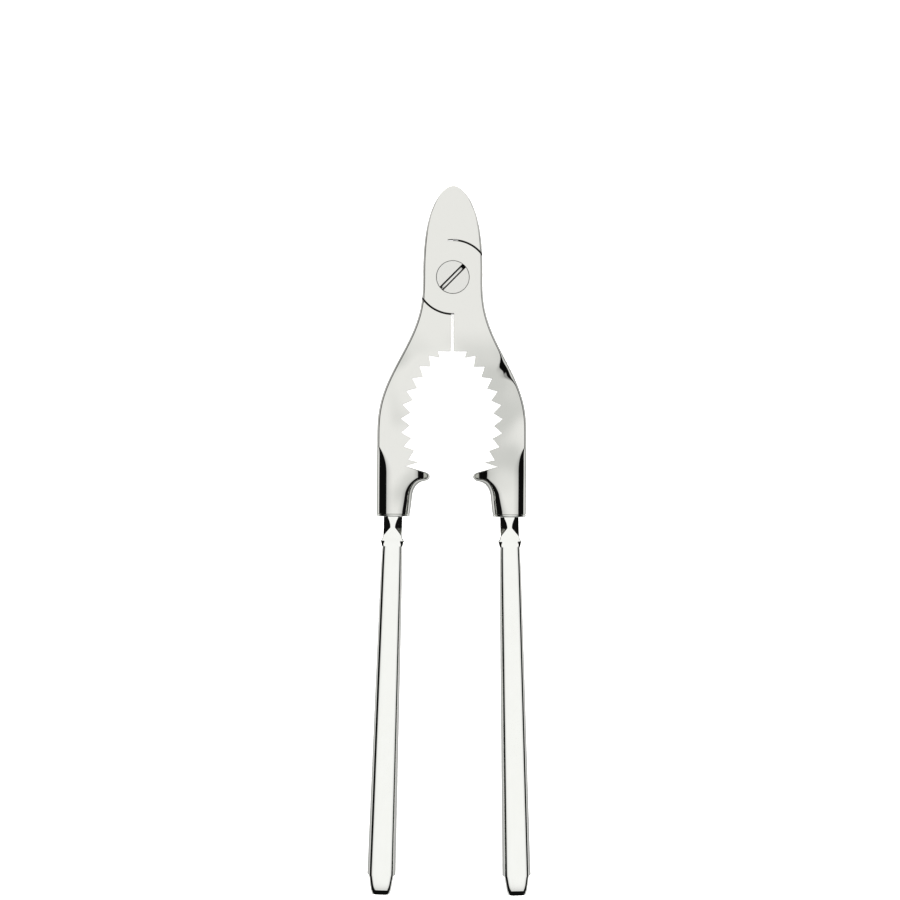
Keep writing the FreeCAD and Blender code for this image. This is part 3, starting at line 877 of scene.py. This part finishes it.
@dataclass
class Jaw:
    """One lever's forged head: half the tip, the lap disc, the toothed arm, the spur and the socket (mm).

    It is worked out for the right-hand lever, whose lap disc lies in the front half of the thickness, and is
    turned round for the left-hand one.
    """

    frame: LeverFrame
    side: Side
    steel: bpy.types.Material
    lap_steel: bpy.types.Material
    pivot_half_width: float = 7.65
    arm_half_width: float = 19.1
    arm_sweep: float = 40.8
    tip_fullness: float = 2.6
    tip_roundness: float = 0.54
    lap_radius: float = 9.2
    shoulder_radius: float = 9.65
    relief_reach: float = 1.3
    lap_floor: float = 0.03
    tip_gap: float = 0.008
    arm_gap: float = 0.73
    nut_top: float = -18.85
    tooth_centre: tuple[float, float] = (-11.33, -37.0)
    tooth_root_radius: float = 24.3
    tooth_depth: float = 2.3
    tooth_pitch: float = 8.46
    tooth_first: float = 48.8
    tooth_count: int = 10
    first_root_step: float = 0.55
    notch: tuple[float, float] = (11.8, -48.2)
    socket_width: float = 8.6
    socket_reach: float = 4.25
    socket_depth: float = 3.97
    flare_start: float = -43.3
    flare_length: float = 7.3
    edge_reach: float = 0.75
    edge_depth: float = 3.0
    tip_reach: float = 0.06
    cheek_reach: float = 0.65
    tip_depth: float = 2.5
    crisp: float = 0.05
    hold_step: float = 0.03
    foot_gap: float = 0.05
    lap_edge: float = 0.07
    relief_edge: float = 0.03
    near_length: float = 8.0
    spur_root_x: float = 9.9
    spur_length: float = 4.4
    spur_from_y: float = -47.5
    lattice_x: tuple[float, float] = (5.6, 13.0)
    lattice_y: tuple[float, float] = (-54.6, -48.0)
    lattice_step: float = 0.5
    lattice_clear: float = 0.2
    spur_thinning: float = 0.83
    spur_thinning_power: float = 1.6
    head_radius: float = 4.26
    head_seat: float = 5.76
    shank_radius: float = 2.96
    thread_radius: float = 2.5
    dent_y: float = -23.0
    dent_length: float = 2.1
    dent_reach: float = 4.3
    dent_depth: float = 0.95

    @property
    def thickness(self) -> float:
        """Thickness of the head."""
        return 2 * self.frame.mid_plane

    @property
    def lap_plane(self) -> float:
        """Height of the lap face of the right-hand lever's front half."""
        return self.frame.mid_plane + self.lap_floor

    def outer_x(self, y: np.ndarray) -> np.ndarray:
        """Half width of the closed head at each height.

        Over the pivot it is the pivot's half width times (1 - share^fullness)^roundness; below, it grows to
        the arm's by the smooth step 6s^5 - 15s^4 + 10s^3.
        """
        left_over = 1 - np.clip(y / self.frame.tip_y, 0, 1) ** self.tip_fullness
        tip = self.pivot_half_width * left_over**self.tip_roundness
        share = np.clip(-y / self.arm_sweep, 0, 1)
        step = share**3 * (share * (6 * share - 15) + 10)
        return tip + (self.arm_half_width - self.pivot_half_width) * step

    def crossing(self, radius: float, upper: bool) -> float:
        """Height at which the outer edge crosses a circle about the pivot, over or under it."""
        heights = np.linspace(0, radius if upper else -radius, 400)
        return float(np.interp(radius, np.hypot(self.outer_x(heights), heights), heights))

    def arc(self, radius: float, start: float, end: float) -> np.ndarray:
        """Points on a circle about the pivot, between two angles in radians."""
        angle = np.linspace(start, end, max(3, int(abs(end - start) * radius / 0.25)))
        return np.stack([radius * np.cos(angle), radius * np.sin(angle)], axis=-1)

    @staticmethod
    def bezier(a: tuple, b: tuple, c: tuple, d: tuple, count: int = 12) -> np.ndarray:
        """A cubic Bezier curve: the four corners weighted by the powers of the share and of its rest."""
        t = np.linspace(0, 1, count)[:, None]
        a, b, c, d = (np.array(corner) for corner in (a, b, c, d))
        return (1 - t) ** 3 * a + 3 * (1 - t) ** 2 * t * b + 3 * (1 - t) * t**2 * c + t**3 * d

    def teeth(self) -> np.ndarray:
        """The nut space's edge: points by turns on the tip circle and the root circle, down to the notch."""
        step = np.arange(2 * self.tooth_count - 1)
        angle = np.radians(self.tooth_first - step * self.tooth_pitch / 2)
        radius = self.tooth_root_radius - self.tooth_depth * (step % 2 == 0)
        x, y = self.tooth_centre
        points = np.stack([x + radius * np.cos(angle), y + radius * np.sin(angle)], axis=-1)
        first = [points[0, 0] + self.first_root_step, self.nut_top]
        return np.concatenate([[[self.arm_gap / 2, self.nut_top]], [first], points])

    def stretches(self) -> dict[str, Stretch]:
        """The outline of the front half, anticlockwise from the point of the tip, stretch by stretch.

        Returns:
            The stretches by name, in their order along the outline.
        """
        lap, shoulder, seam = self.lap_radius, self.shoulder_radius, -self.tip_gap / 2
        upper, lower = self.crossing(shoulder, True), self.crossing(shoulder, False)
        lap_upper, lap_lower = self.crossing(lap, True), self.crossing(lap, False)
        end_y, right = self.frame.socket_end_y, self.arm_half_width
        left = right - self.socket_width

        def edge(y: np.ndarray, side: int) -> np.ndarray:
            """Points on the outer edge."""
            return np.stack([side * self.outer_x(y), y], axis=-1)

        def foot(y: float) -> float:
            """Half width of the flat where the lap arc leaves the outer edge."""
            return float(self.outer_x(np.array(y))) - self.cheek_reach

        heights = self.frame.tip_y * (1 - np.linspace(0.004, 1, 60) ** 2)
        tip = edge(np.concatenate([heights[heights > upper + 0.1], [upper]]), -1)
        tip[0, 0] = seam
        fade = np.clip((tip[:, 1] - upper) / (self.frame.tip_y - upper), 0, 1) ** 2
        cheek = edge(np.linspace(upper, lap_lower, 24), -1)
        sweep = np.linspace(self.flare_start, lower, 70)
        arm_y = np.concatenate([np.linspace(end_y, self.flare_start, 46)[:-1], sweep])
        flare = np.sin(math.pi / 2 * np.clip((self.flare_start - arm_y) / self.flare_length, 0, 1))
        dent = (self.side is Side.RIGHT) * np.exp(-(((arm_y - self.dent_y) / self.dent_length) ** 2))
        near = np.clip(1 - (lower - arm_y) / self.near_length, 0, 1)
        arm_reach = self.edge_reach + (self.socket_reach - self.edge_reach) * flare + self.dent_reach * dent
        arm_reach += (self.cheek_reach - self.edge_reach) * near
        arm_depth = self.edge_depth + (self.socket_depth - self.edge_depth) * flare
        arm_depth += (self.tip_depth - self.edge_depth) * near + self.dent_depth * dent
        top = np.array(self.notch)
        spur = [(7.0, -49.5), (6.0, -49.75), (5.35, -50.2), (5.5, -50.95)]
        beak = [(5.5, -50.95), (5.65, -51.6), (6.2, -51.85), (7.0, -52.0)]
        under = [(7.0, -52.0), (8.8, -52.3), (9.7, -53.8), (9.95, -55.6)]
        throat = [(9.95, -55.6), (10.1, -57.2), (10.3, -58.8), (left, end_y)]
        ledge = top + (np.array(spur[0]) - top) * np.linspace(0, 1, 14)[:, None]
        ramp = np.linspace(0, 1, 14)
        nose = np.linspace(0, 1, 12)
        fall = np.linspace(0, 1, 20)
        relief = math.acos(-self.relief_reach / shoulder)
        low = math.atan2(-math.sqrt(lap**2 - self.arm_gap**2 / 4), self.arm_gap / 2)
        seam_y = np.append(shoulder + 0.04, np.linspace(shoulder + 0.1, self.frame.tip_y - 1.2, 8))
        return {
            "tip": Stretch(
                tip, self.tip_reach + (self.cheek_reach - self.tip_reach) * (1 - fade), self.tip_depth),
            "cheek": Stretch(cheek, self.cheek_reach, self.tip_depth),
            "lower_lap": Stretch(self.arc(lap, -math.acos(-foot(lap_lower) / lap), low),
                                 self.lap_edge, self.lap_edge, True),
            "gap_start": Stretch(
                np.array([[self.arm_gap / 2, -math.sqrt(shoulder**2 - self.arm_gap**2 / 4)]]),
                self.crisp, self.crisp),
            "teeth": Stretch(self.teeth(), self.crisp, self.crisp),
            "ledge": Stretch(ledge, self.crisp + 0.2 * ramp, self.crisp + 1.5 * ramp),
            "spur": Stretch(self.bezier(*spur), 0.25 + 0.3 * nose, 1.55 + 1.5 * nose),
            "beak": Stretch(self.bezier(*beak), 0.55 + 0.4 * nose, 3.05 + 0.4 * nose),
            "under": Stretch(self.bezier(*under, 20), 0.95 + 2.25 * fall, 3.45 + 0.5 * fall),
            "throat": Stretch(
                self.bezier(*throat, 20), 3.2 + (self.socket_reach - 3.2) * fall, self.socket_depth),
            "end": Stretch(np.stack([np.linspace(left, right, 25), np.full(25, end_y)], axis=-1),
                           self.socket_reach, self.socket_depth),
            "arm": Stretch(edge(arm_y, 1), arm_reach, arm_depth),
            "right_cheek": Stretch(
                edge(np.linspace(lower, lap_upper, 24), 1), self.cheek_reach, self.tip_depth),
            "upper_lap": Stretch(
                self.arc(lap, math.acos(foot(lap_upper) / lap), math.acos(-self.relief_reach / lap)),
                self.lap_edge, self.lap_edge, True),
            "relief": Stretch(self.arc(shoulder, relief, math.acos(seam / shoulder)),
                              self.relief_edge, self.relief_edge, True),
            "seam": Stretch(np.stack([np.full(9, seam), seam_y], axis=-1), 0.0, 0.0),
        }

    def insets(self, outline: np.ndarray, reach: np.ndarray) -> np.ndarray:
        """Steps from the outline to the flat's edge: both normals' sum over 1 plus their cosine.

        Args:
            outline: The outline's points.
            reach: How far in the rim is rounded at each point.

        Returns:
            The step from each point.
        """
        ahead = np.roll(outline, -1, axis=0) - outline
        normal = np.stack([-ahead[:, 1], ahead[:, 0]], axis=-1)
        normal /= np.linalg.norm(normal, axis=1, keepdims=True)
        before = np.roll(normal, 1, axis=0)
        mitre = (normal + before) / np.maximum(1 + np.sum(normal * before, axis=1, keepdims=True), 0.3)
        return mitre * reach[:, None]

    def rim(
        self, outline: np.ndarray, inset: np.ndarray, hold: np.ndarray, depth: np.ndarray, back: bool
    ) -> np.ndarray:
        """Rings from the flat's edge over the rounded rim, a quarter ellipse, to the lap plane.

        Args:
            outline: The side's outline.
            inset: Step from each outline point to where the rounding ends.
            hold: Small further step to the flat's edge, which keeps the flat's shading level.
            depth: Depth of the rounding at each point.
            back: Makes the rim of the back face, whose rings then run from the lap plane to the flat.

        Returns:
            Grid of points, uppermost ring first.
        """
        turn = np.linspace(math.pi / 2, 0, 10)[:, None]
        share = np.concatenate([[[1.0]], 1 - np.cos(turn), [[0.0]]])[..., None]
        flat = outline + inset * share
        flat[0] += hold
        fall = np.concatenate([0 * depth[None], depth * (1 - np.sin(turn))])
        half = self.lap_plane if back else self.thickness - self.lap_plane
        up = np.concatenate([half - np.minimum(fall, half), 0 * depth[None]])
        rings = np.concatenate([flat, up[..., None]], axis=-1)
        if back:
            rings = rings[::-1] * np.array([1, 1, -1])
        return rings + np.array([0, 0, self.lap_plane])

    def flat(
        self, outline: np.ndarray, height: float, hole: float, lattice: bool
    ) -> tuple[np.ndarray, np.ndarray]:
        """Fills a flat outline with triangles, leaving a round hole at the pivot.

        Args:
            outline: The flat's edge.
            height: Its height.
            hole: Radius of the hole, or zero.
            lattice: Adds points every half millimetre in the spur.

        Returns:
            Points and anticlockwise triangles, with the last corner repeated.
        """
        loops = [outline]
        if hole:
            loops.append(self.circle(hole, height)[:, :2])
        if lattice:
            x, y = np.meshgrid(
                np.arange(*self.lattice_x, self.lattice_step), np.arange(*self.lattice_y, self.lattice_step))
            inside = np.stack([x.ravel(), y.ravel()], axis=-1)
            away = np.min(np.linalg.norm(inside[:, None] - outline[None], axis=2), axis=1)
            loops.append(inside[(away > self.lattice_clear) & within(inside, outline)])
        spots = np.concatenate(loops)
        edge = np.arange(len(outline))
        ring = len(outline) + np.arange(len(loops[1]) if hole else 0)
        edges = np.concatenate([np.stack([loop, np.roll(loop, -1)], -1) for loop in (edge, ring)])
        _, _, triangles, originals, _, _ = geometry.delaunay_2d_cdt(
            [Vector(spot) for spot in spots.tolist()], edges.tolist(), [], 0, 1e-7, True)
        number = np.array([original[0] for original in originals])
        faces = number[np.array(triangles)]
        middle = spots[faces].mean(axis=1)
        keep = within(middle, outline) & (np.hypot(middle[:, 0], middle[:, 1]) > hole)
        faces = faces[keep]
        first, second, third = (spots[faces[:, corner]] for corner in range(3))
        lean = (second - first)[:, 0] * (third - first)[:, 1] - (second - first)[:, 1] * (third - first)[:, 0]
        faces[lean < 0] = faces[lean < 0][:, ::-1]
        points = np.column_stack([spots, np.full(len(spots), height)])
        return points, np.column_stack([faces, faces[:, 2]])

    @staticmethod
    def circle(radius: float, height: float) -> np.ndarray:
        """Seventy-two points round the pivot axis, at one height."""
        angle = np.linspace(0, 2 * math.pi, 72, endpoint=False)
        return np.stack([radius * np.cos(angle), radius * np.sin(angle), np.full(72, height)], axis=-1)

    def bore(self) -> tuple[np.ndarray, float, float]:
        """The screw's hole from the outer face to the lap plane.

        The right-hand lever has a seat for the screw's head, the left-hand one a plain threaded hole.

        Returns:
            The hole's rings, its radius at the outer face and its radius at the lap plane.
        """
        if self.side is Side.RIGHT:
            steps = [(self.head_radius, self.thickness), (self.head_radius, self.head_seat),
                     (self.shank_radius, self.head_seat), (self.shank_radius, self.lap_plane)]
        else:
            steps = [(self.thread_radius, self.thickness), (self.thread_radius, self.lap_plane)]
        rings = np.stack([self.circle(radius, height) for radius, height in steps])
        return rings[:, ::-1], steps[0][0], steps[-1][0]

    def joined(self) -> Edge:
        """Strings the stretches together and leaves out a point that two neighbours share."""
        parts = self.stretches()
        columns: list[list[np.ndarray]] = [[], [], [], [], []]
        for order, part in enumerate(parts.values()):
            before, count = columns[0], len(part.points)
            shared = int(bool(before) and np.allclose(before[-1][-1], part.points[0], atol=1e-6))
            row = (part.points, np.broadcast_to(part.reach, count), np.broadcast_to(part.depth, count),
                   np.full(count, part.ground), np.full(count, order))
            for column, item in zip(columns, row):
                column.append(item[shared:])
        return Edge(*(np.concatenate(column) for column in columns), list(parts))

    def steps(self, edge: Edge) -> tuple[np.ndarray, np.ndarray]:
        """Works out where the rim's rounding ends, and the small further step to the flat's edge.

        The steps of the tip meet in one point on the seam, those of the socket close on its middle line, and
        those at the end of a cheek meet the lap arc.

        Args:
            edge: The whole outline.

        Returns:
            Both steps from each outline point.
        """
        inset = self.insets(edge.points, edge.reach)
        seam = -self.tip_gap / 2
        past = (edge.owner == 0) & (edge.points[:, 0] + inset[:, 0] > seam)
        past[0] = True
        inset[past] = np.array([seam, np.min((edge.points + inset)[past, 1])]) - edge.points[past]
        socket = (edge.owner == edge.names.index("end")) | (
            np.abs(edge.points[:, 1] - self.frame.socket_end_y) < 1e-6)
        middle = self.arm_half_width - self.socket_width / 2
        inset[socket, 0] = self.socket_reach * (middle - edge.points[socket, 0]) / (self.socket_width / 2)
        inset[socket, 1] = 0
        length = np.maximum(np.linalg.norm(inset, axis=1, keepdims=True), 1e-3)
        hold = inset / length * self.hold_step
        hold[past] = (0.0, -self.hold_step)
        for name in ("cheek", "right_cheek"):
            last = edge.last(name)
            inset[last] = edge.points[last + 1] * (1 - self.lap_edge / self.lap_radius) - edge.points[last]
            hold[last] = hold[last + 1]
        return inset, hold

    def back_half(
        self, work: Patchwork, edge: Edge, inset: np.ndarray, hold: np.ndarray, span: tuple[int, int]
    ) -> np.ndarray:
        """Adds the rim and the flat of one of the two halves behind the lap plane.

        A half is a span of the outline closed by the shoulder's arc. Near the span's end the rim's steps stop
        at one foot on that arc.

        Args:
            work: Gets the patches.
            edge: The whole outline.
            inset: Step from each outline point to where the rounding ends.
            hold: Small further step to the flat's edge.
            span: First and last outline point, counted on past the outline's end.

        Returns:
            The shoulder's arc, from the span's first point to its last.
        """
        shoulder = self.shoulder_radius
        member = np.arange(span[0], span[1] + 1) % len(edge.points)
        angle = np.arctan2(edge.points[member[[0, -1]], 1], edge.points[member[[0, -1]], 0])
        arc = self.arc(shoulder, *angle)[1:-1][::-1]
        corner = edge.points[member[-1]]
        across = corner[0] - math.copysign(edge.reach[member[-1]], corner[0])
        foot = np.array([across, math.copysign(math.sqrt(shoulder**2 - across**2), corner[1])])
        beyond = np.abs(arc[:, 0] - corner[0]) > abs(across - corner[0]) + self.foot_gap
        arc = np.concatenate([[foot], arc[beyond]])
        still = np.zeros((len(arc), 2))
        line = np.concatenate([edge.points[member], arc])
        step = np.concatenate([inset[member], still])
        keep = np.concatenate([hold[member], still])
        low = np.hypot(*(line + step + keep).T) < shoulder + 0.01
        low &= np.linalg.norm(line - corner, axis=1) < 2
        low[len(member) :] = False
        low[len(member) - 1] = True
        step[low] = foot - line[low]
        step[0] = 0
        keep[low] = 0
        keep[0] = 0
        back = self.rim(line, step, keep, np.concatenate([edge.depth[member], still[:, 0]]), True)
        wall = np.zeros((len(back) - 1, len(line)), dtype=int)
        # The wall along the shoulder's arc takes the near-black lap material: painted shade in the groove.
        wall[0, len(member) - 1 :] = 1
        work.add_strip(back, wall.ravel())
        points, faces = self.flat(back[-1, :, :2], 0.0, 0.0, bool(corner[0] > 0))
        work.add(points, faces[:, ::-1])
        return arc[::-1]

    def thin_spur(self, points: np.ndarray) -> None:
        """Draws the spur's points towards the lap plane, more and more out to its tip, in place."""
        share = np.clip((self.spur_root_x - points[:, 0]) / self.spur_length, 0, 1)
        share = share * (points[:, 1] < self.spur_from_y)
        thin = 1 - self.spur_thinning * share**self.spur_thinning_power
        points[:, 2] = self.lap_plane + (points[:, 2] - self.lap_plane) * thin

    def build(self) -> bpy.types.Object:
        """Joins the front half, the two back halves, the lap face and the bore into one closed piece.

        Returns:
            The dressed piece.
        """
        edge = self.joined()
        inset, hold = self.steps(edge)
        work = Patchwork()
        front = self.rim(edge.points, inset, hold, edge.depth, False)
        wall = np.zeros((len(front) - 1, len(edge.points)), dtype=int)
        # The lowest rim ring along the lap arcs takes the near-black lap material: painted shade in the groove
        # between the levers.
        wall[-1] = edge.ground & np.roll(edge.ground, -1)
        work.add_strip(front, wall.ravel())
        rings, outer_hole, inner_hole = self.bore()
        work.add(*self.flat(front[0, :, :2], self.thickness, outer_hole, True))
        # The bore's wall takes the near-black lap material as painted shade down the hole.
        work.add_strip(rings, 1)
        tip_end, arm_start = edge.last("tip"), edge.first("gap_start")
        arm_end, relief_start = edge.last("arm"), edge.first("relief")
        arm_arc = self.back_half(work, edge, inset, hold, (arm_start, arm_end))
        tip_arc = self.back_half(work, edge, inset, hold, (relief_start, tip_end + len(edge.points)))
        lap = np.concatenate([
            edge.points[tip_end : arm_start + 1], arm_arc, edge.points[arm_end : relief_start + 1], tip_arc])
        points, faces = self.flat(lap, self.lap_plane, inner_hole, False)
        # The lap face takes the near-black lap material too, painted shade where it shows in the groove.
        work.add(points, faces[:, ::-1], 1)
        for patch in work.points:
            self.thin_spur(patch)
            if self.side is Side.LEFT:
                patch[:] = turn_round(patch, self.frame.mid_plane)
        piece = work.mesh(f"{self.side.value}_forged_jaw")
        piece.data.materials.append(self.steel)
        piece.data.materials.append(self.lap_steel)
        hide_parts(f"{self.side.value}_jaw")
        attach(piece, f"{self.side.value}_lever")
        return piece


@dataclass
class PivotScrew:
    """The flush screw: a slotted head in the front lever, a shank and the end in the back lever (mm)."""

    frame: LeverFrame
    steel: bpy.types.Material
    shade_painted_steel: bpy.types.Material
    head_radius: float = 4.2
    head_height: float = 2.2
    rim: float = 0.1
    slot_width: float = 1.3
    slot_depth: float = 1.05
    slot_angle: float = 45.5
    slot_steps: int = 12
    shade_painted_steps: int = 4
    shank_radius: float = 2.9
    thread_radius: float = 2.5
    end_recess: float = 0.15
    end_chamfer: float = 0.25

    def head(self) -> np.ndarray:
        """Sections across the slot, from one side of the head to the other, as rings round each section.

        The top is level up to the rim, which slopes off evenly. In the slot its depth is the full depth times
        one minus the fourth power of the distance along the slot, so the floor climbs towards both ends, and
        beyond two fifths of the half width it climbs evenly to the walls.
        """
        radius, half = self.head_radius, self.slot_width / 2
        outside = radius * np.sin(np.linspace(math.asin(half / radius), math.pi / 2, 22))
        inside = half * np.array([-1, -0.98, -0.75, -0.45, -0.38, 0, 0.38, 0.45, 0.75, 0.98, 1])
        t = np.concatenate([-outside[::-1], inside, outside])[:, None]
        cut = np.concatenate([np.zeros(22), np.ones(len(inside)), np.zeros(22)])[:, None]
        reach = np.sqrt(np.clip(radius**2 - t**2, 0, None))
        share = np.cos(np.linspace(0, math.pi, 49))[None, :]
        s = reach * share
        top = self.thickness - np.clip(np.hypot(s, t) - (radius - self.rim), 0, None)
        deep = self.slot_depth * (1 - (np.abs(s) / (radius * 1.035)) ** 4)
        deep = deep - np.clip(np.abs(t) - 0.42 * half, 0, None)
        top = np.where(cut > 0, np.minimum(top, self.thickness - deep), top)
        upper = np.stack([s, t + 0 * s, top], axis=-1)
        lower = np.stack([s, t + 0 * s, np.full_like(s, self.thickness - self.head_height)], axis=-1)[:, ::-1]
        ring = np.concatenate([upper, lower], axis=1)
        c, d = math.cos(math.radians(self.slot_angle)), math.sin(math.radians(self.slot_angle))
        x, y, z = np.moveaxis(ring, -1, 0)
        return np.stack([x * c - y * d, x * d + y * c, z], axis=-1)

    @property
    def thickness(self) -> float:
        """Height of the flush face."""
        return 2 * self.frame.mid_plane

    def stem(self) -> np.ndarray:
        """The shank and the threaded end: circles down the pivot axis, with a small bevel at the foot."""
        top = self.thickness - self.head_height + 0.2
        steps = [(0.0, top), (self.shank_radius, top), (self.shank_radius, self.frame.mid_plane + 0.05),
                 (self.thread_radius, self.frame.mid_plane + 0.05),
                 (self.thread_radius, self.end_recess + self.end_chamfer),
                 (self.thread_radius - self.end_chamfer, self.end_recess), (0.0, self.end_recess)]
        return np.stack([Jaw.circle(radius, height) for radius, height in steps])

    def build(self) -> bpy.types.Object:
        """Joins the head and the stem."""
        work = Patchwork()
        head = self.head()
        station = np.arange(len(head) - 1)
        from_middle = np.abs(station - (len(head) - 2) / 2)
        # Painted shade: the faces where the slot's floor climbs to its sides take the near-black lap material.
        climbing = (from_middle <= self.slot_steps / 2) & (from_middle > self.slot_steps / 2 - self.shade_painted_steps)
        work.add_strip(head, np.repeat(climbing, head.shape[1]).astype(int))
        work.add_strip(self.stem())
        piece = work.mesh("slotted_pivot_screw")
        piece.data.materials.append(self.steel)
        piece.data.materials.append(self.shade_painted_steel)
        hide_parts("pivot_screw")
        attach(piece, "left_lever")
        return piece


@dataclass
class Studio:
    """White paper floor, a soft overhead light, the surroundings and the camera (millimetres, degrees)."""

    target: tuple[float, float, float] = (-0.43, -43.96, 8.0)
    elevation: float = 89.9
    distance: float = 900.0
    view_width: float = 228.8
    roll: float = 0.37
    sensor: float = 36.0
    floor_half: float = 6000.0
    floor_gap: float = 0.15
    light_height: float = 1500.0
    light_size: float = 1600.0
    light_power: float = 60.0
    sky_half_angle: float = 55.0
    sky_lean_x: float = 7.5
    sky_lean_y: float = 6.0
    sky: float = 0.98
    sky_rim: float = 0.62
    sky_core: float = 0.97
    edge_degrees: float = 5.0
    backdrop_colour: str = "fdfdfb"
    far_wall: float = 0.45
    far_wall_spread: tuple[float, float] = (0.6, 0.8)
    far_wall_rise: tuple[float, float] = (0.08, 0.2)
    room_levels: tuple[tuple[float, float], ...] = (
        (0.0, 1.05), (0.018, 1.0), (0.05, 0.42), (0.17, 0.50), (0.21, 0.95), (0.29, 0.90), (0.335, 0.005),
        (1.0, 0.005))

    def floor(self) -> bpy.types.Object:
        """A single large square of paper just under the tool."""
        reach = self.floor_half
        corners = np.array([(-reach, -reach), (reach, -reach), (reach, reach), (-reach, reach)])
        points = np.column_stack([corners, np.full(4, -self.floor_gap)])
        mesh = bpy.data.meshes.new("paper_floor")
        mesh.from_pydata((points * MM).tolist(), [], [[0, 1, 2, 3]])
        paper = bpy.data.objects.new("paper_floor", mesh)
        bpy.context.scene.collection.objects.link(paper)
        dress(paper, StudioPaper().make())
        paper.visible_glossy = False
        return paper

    def light(self) -> bpy.types.Object:
        """One large square soft light over the tool, which lights the paper evenly."""
        lamp = bpy.data.lights.new("overhead_softbox", "AREA")
        lamp.size = self.light_size * MM
        lamp.energy = self.light_power
        softbox = bpy.data.objects.new("overhead_softbox", lamp)
        softbox.location = (0, self.target[1] * MM, self.light_height * MM)
        softbox.visible_glossy = False
        bpy.context.scene.collection.objects.link(softbox)
        return softbox

    def surroundings(self) -> bpy.types.World:
        """The room that the metal mirrors: a bright ceiling, dark walls, a light far wall and a pale table.

        The ceiling is every direction within a half angle of a leaning axis, with a soft edge. The far
        wall is beyond the tip, above the table's level.

        Returns:
            The world.
        """
        world = bpy.data.worlds.new("studio_room")
        bpy.context.scene.world = world
        world.use_nodes = True
        tree = world.node_tree
        tree.nodes.clear()
        direction = add_node(tree, "ShaderNodeTexCoord").outputs["Generated"]
        lean_x, lean_y = (math.tan(math.radians(angle)) for angle in (self.sky_lean_x, self.sky_lean_y))
        axis = Vector((lean_x, lean_y, 1.0)).normalized()
        lean = add_node(tree, "ShaderNodeVectorMath", {0: direction, 1: axis}, operation="DOT_PRODUCT")
        inner = math.cos(math.radians(self.sky_half_angle - self.edge_degrees))
        outer = math.cos(math.radians(self.sky_half_angle))
        ceiling = add_node(tree, "ShaderNodeMapRange", {
            "Value": lean.outputs["Value"], "From Min": outer, "From Max": inner},
            interpolation_type="SMOOTHSTEP")
        parts = add_node(tree, "ShaderNodeSeparateXYZ", {0: direction})
        share = add_node(tree, "ShaderNodeMapRange", {
            "Value": parts.outputs["Z"], "From Min": -1.0, "From Max": 1.0})
        ahead = add_node(tree, "ShaderNodeMapRange", {
            "Value": parts.outputs["Y"], "From Min": self.far_wall_spread[0],
            "From Max": self.far_wall_spread[1]}, interpolation_type="SMOOTHSTEP")
        raised = add_node(tree, "ShaderNodeMapRange", {
            "Value": parts.outputs["Z"], "From Min": self.far_wall_rise[0],
            "From Max": self.far_wall_rise[1]}, interpolation_type="SMOOTHSTEP")
        lit = add_node(tree, "ShaderNodeMath", {
            0: ahead.outputs[0], 1: raised.outputs[0]}, operation="MULTIPLY")
        ramp = add_node(tree, "ShaderNodeValToRGB", {0: share.outputs[0]})
        for number, (position, level) in enumerate(self.room_levels):
            old = {0: 0, len(self.room_levels) - 1: -1}.get(number)
            stop = ramp.color_ramp.elements.new(position) if old is None else ramp.color_ramp.elements[old]
            stop.position = position
            stop.color = (level, level, level, 1.0)
        level = add_node(tree, "ShaderNodeMapRange", {
            "Value": lean.outputs["Value"], "From Min": outer, "From Max": self.sky_core,
            "To Min": self.sky_rim, "To Max": self.sky})
        walls = add_node(tree, "ShaderNodeMix", {
            0: lit.outputs[0], 6: ramp.outputs[0], 7: (self.far_wall, self.far_wall, self.far_wall, 1.0)},
            data_type="RGBA")
        room = add_node(tree, "ShaderNodeMix", {
            0: ceiling.outputs[0], 6: walls.outputs[2], 7: level.outputs[0]}, data_type="RGBA")
        seen = add_node(tree, "ShaderNodeLightPath").outputs["Is Camera Ray"]
        backdrop = add_node(tree, "ShaderNodeMix", {
            0: seen, 6: room.outputs[2], 7: linear(self.backdrop_colour)}, data_type="RGBA")
        shine = add_node(tree, "ShaderNodeBackground", {"Color": backdrop.outputs[2], "Strength": 1.0})
        add_node(tree, "ShaderNodeOutputWorld", {"Surface": shine.outputs[0]})
        return world

    def camera(self) -> bpy.types.Object:
        """A long lens straight above the tool."""
        lens = bpy.data.cameras.new("camera")
        lens.sensor_width = self.sensor
        lens.lens = self.sensor * self.distance / self.view_width
        lens.clip_start, lens.clip_end = 0.01, 30.0
        eye = bpy.data.objects.new("camera", lens)
        bpy.context.scene.collection.objects.link(eye)
        lean = math.radians(self.elevation)
        back = Vector((0.0, -math.cos(lean), math.sin(lean)))
        eye.location = (Vector(self.target) + back * self.distance) * MM
        upright = (-back).to_track_quat("-Z", "Y").to_matrix()
        eye.rotation_euler = (upright @ Matrix.Rotation(math.radians(self.roll), 3, "Z")).to_euler()
        bpy.context.scene.camera = eye
        return eye

    def build(self) -> None:
        """Sets the studio up and shows colours as they are."""
        self.floor()
        self.light()
        self.surroundings()
        self.camera()
        bpy.context.scene.view_settings.view_transform = "Standard"


def main() -> None:
    """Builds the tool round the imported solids, then the studio."""
    logging.basicConfig(level=logging.INFO, format="%(name)s: %(message)s")
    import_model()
    silver, steel = PolishedSilver().make(), PolishedSteel().make()
    cement = PitchCement().make()
    frame = LeverFrame.read()
    lap_steel = LapSteel().make()
    pieces = [PivotScrew(frame, TurnedSteel().make(), lap_steel).build()]
    for side in Side:
        pieces.append(Jaw(frame, side, steel, lap_steel).build())
        pieces += Neck(frame, side, silver).build()
        pieces += HollowHandle(frame, side, silver, cement).build()
    for piece in pieces:
        LOG.info("%s: %d points, %d faces", piece.name, len(piece.data.vertices), len(piece.data.polygons))
    Studio().build()


if __name__ == "__main__":
    main()
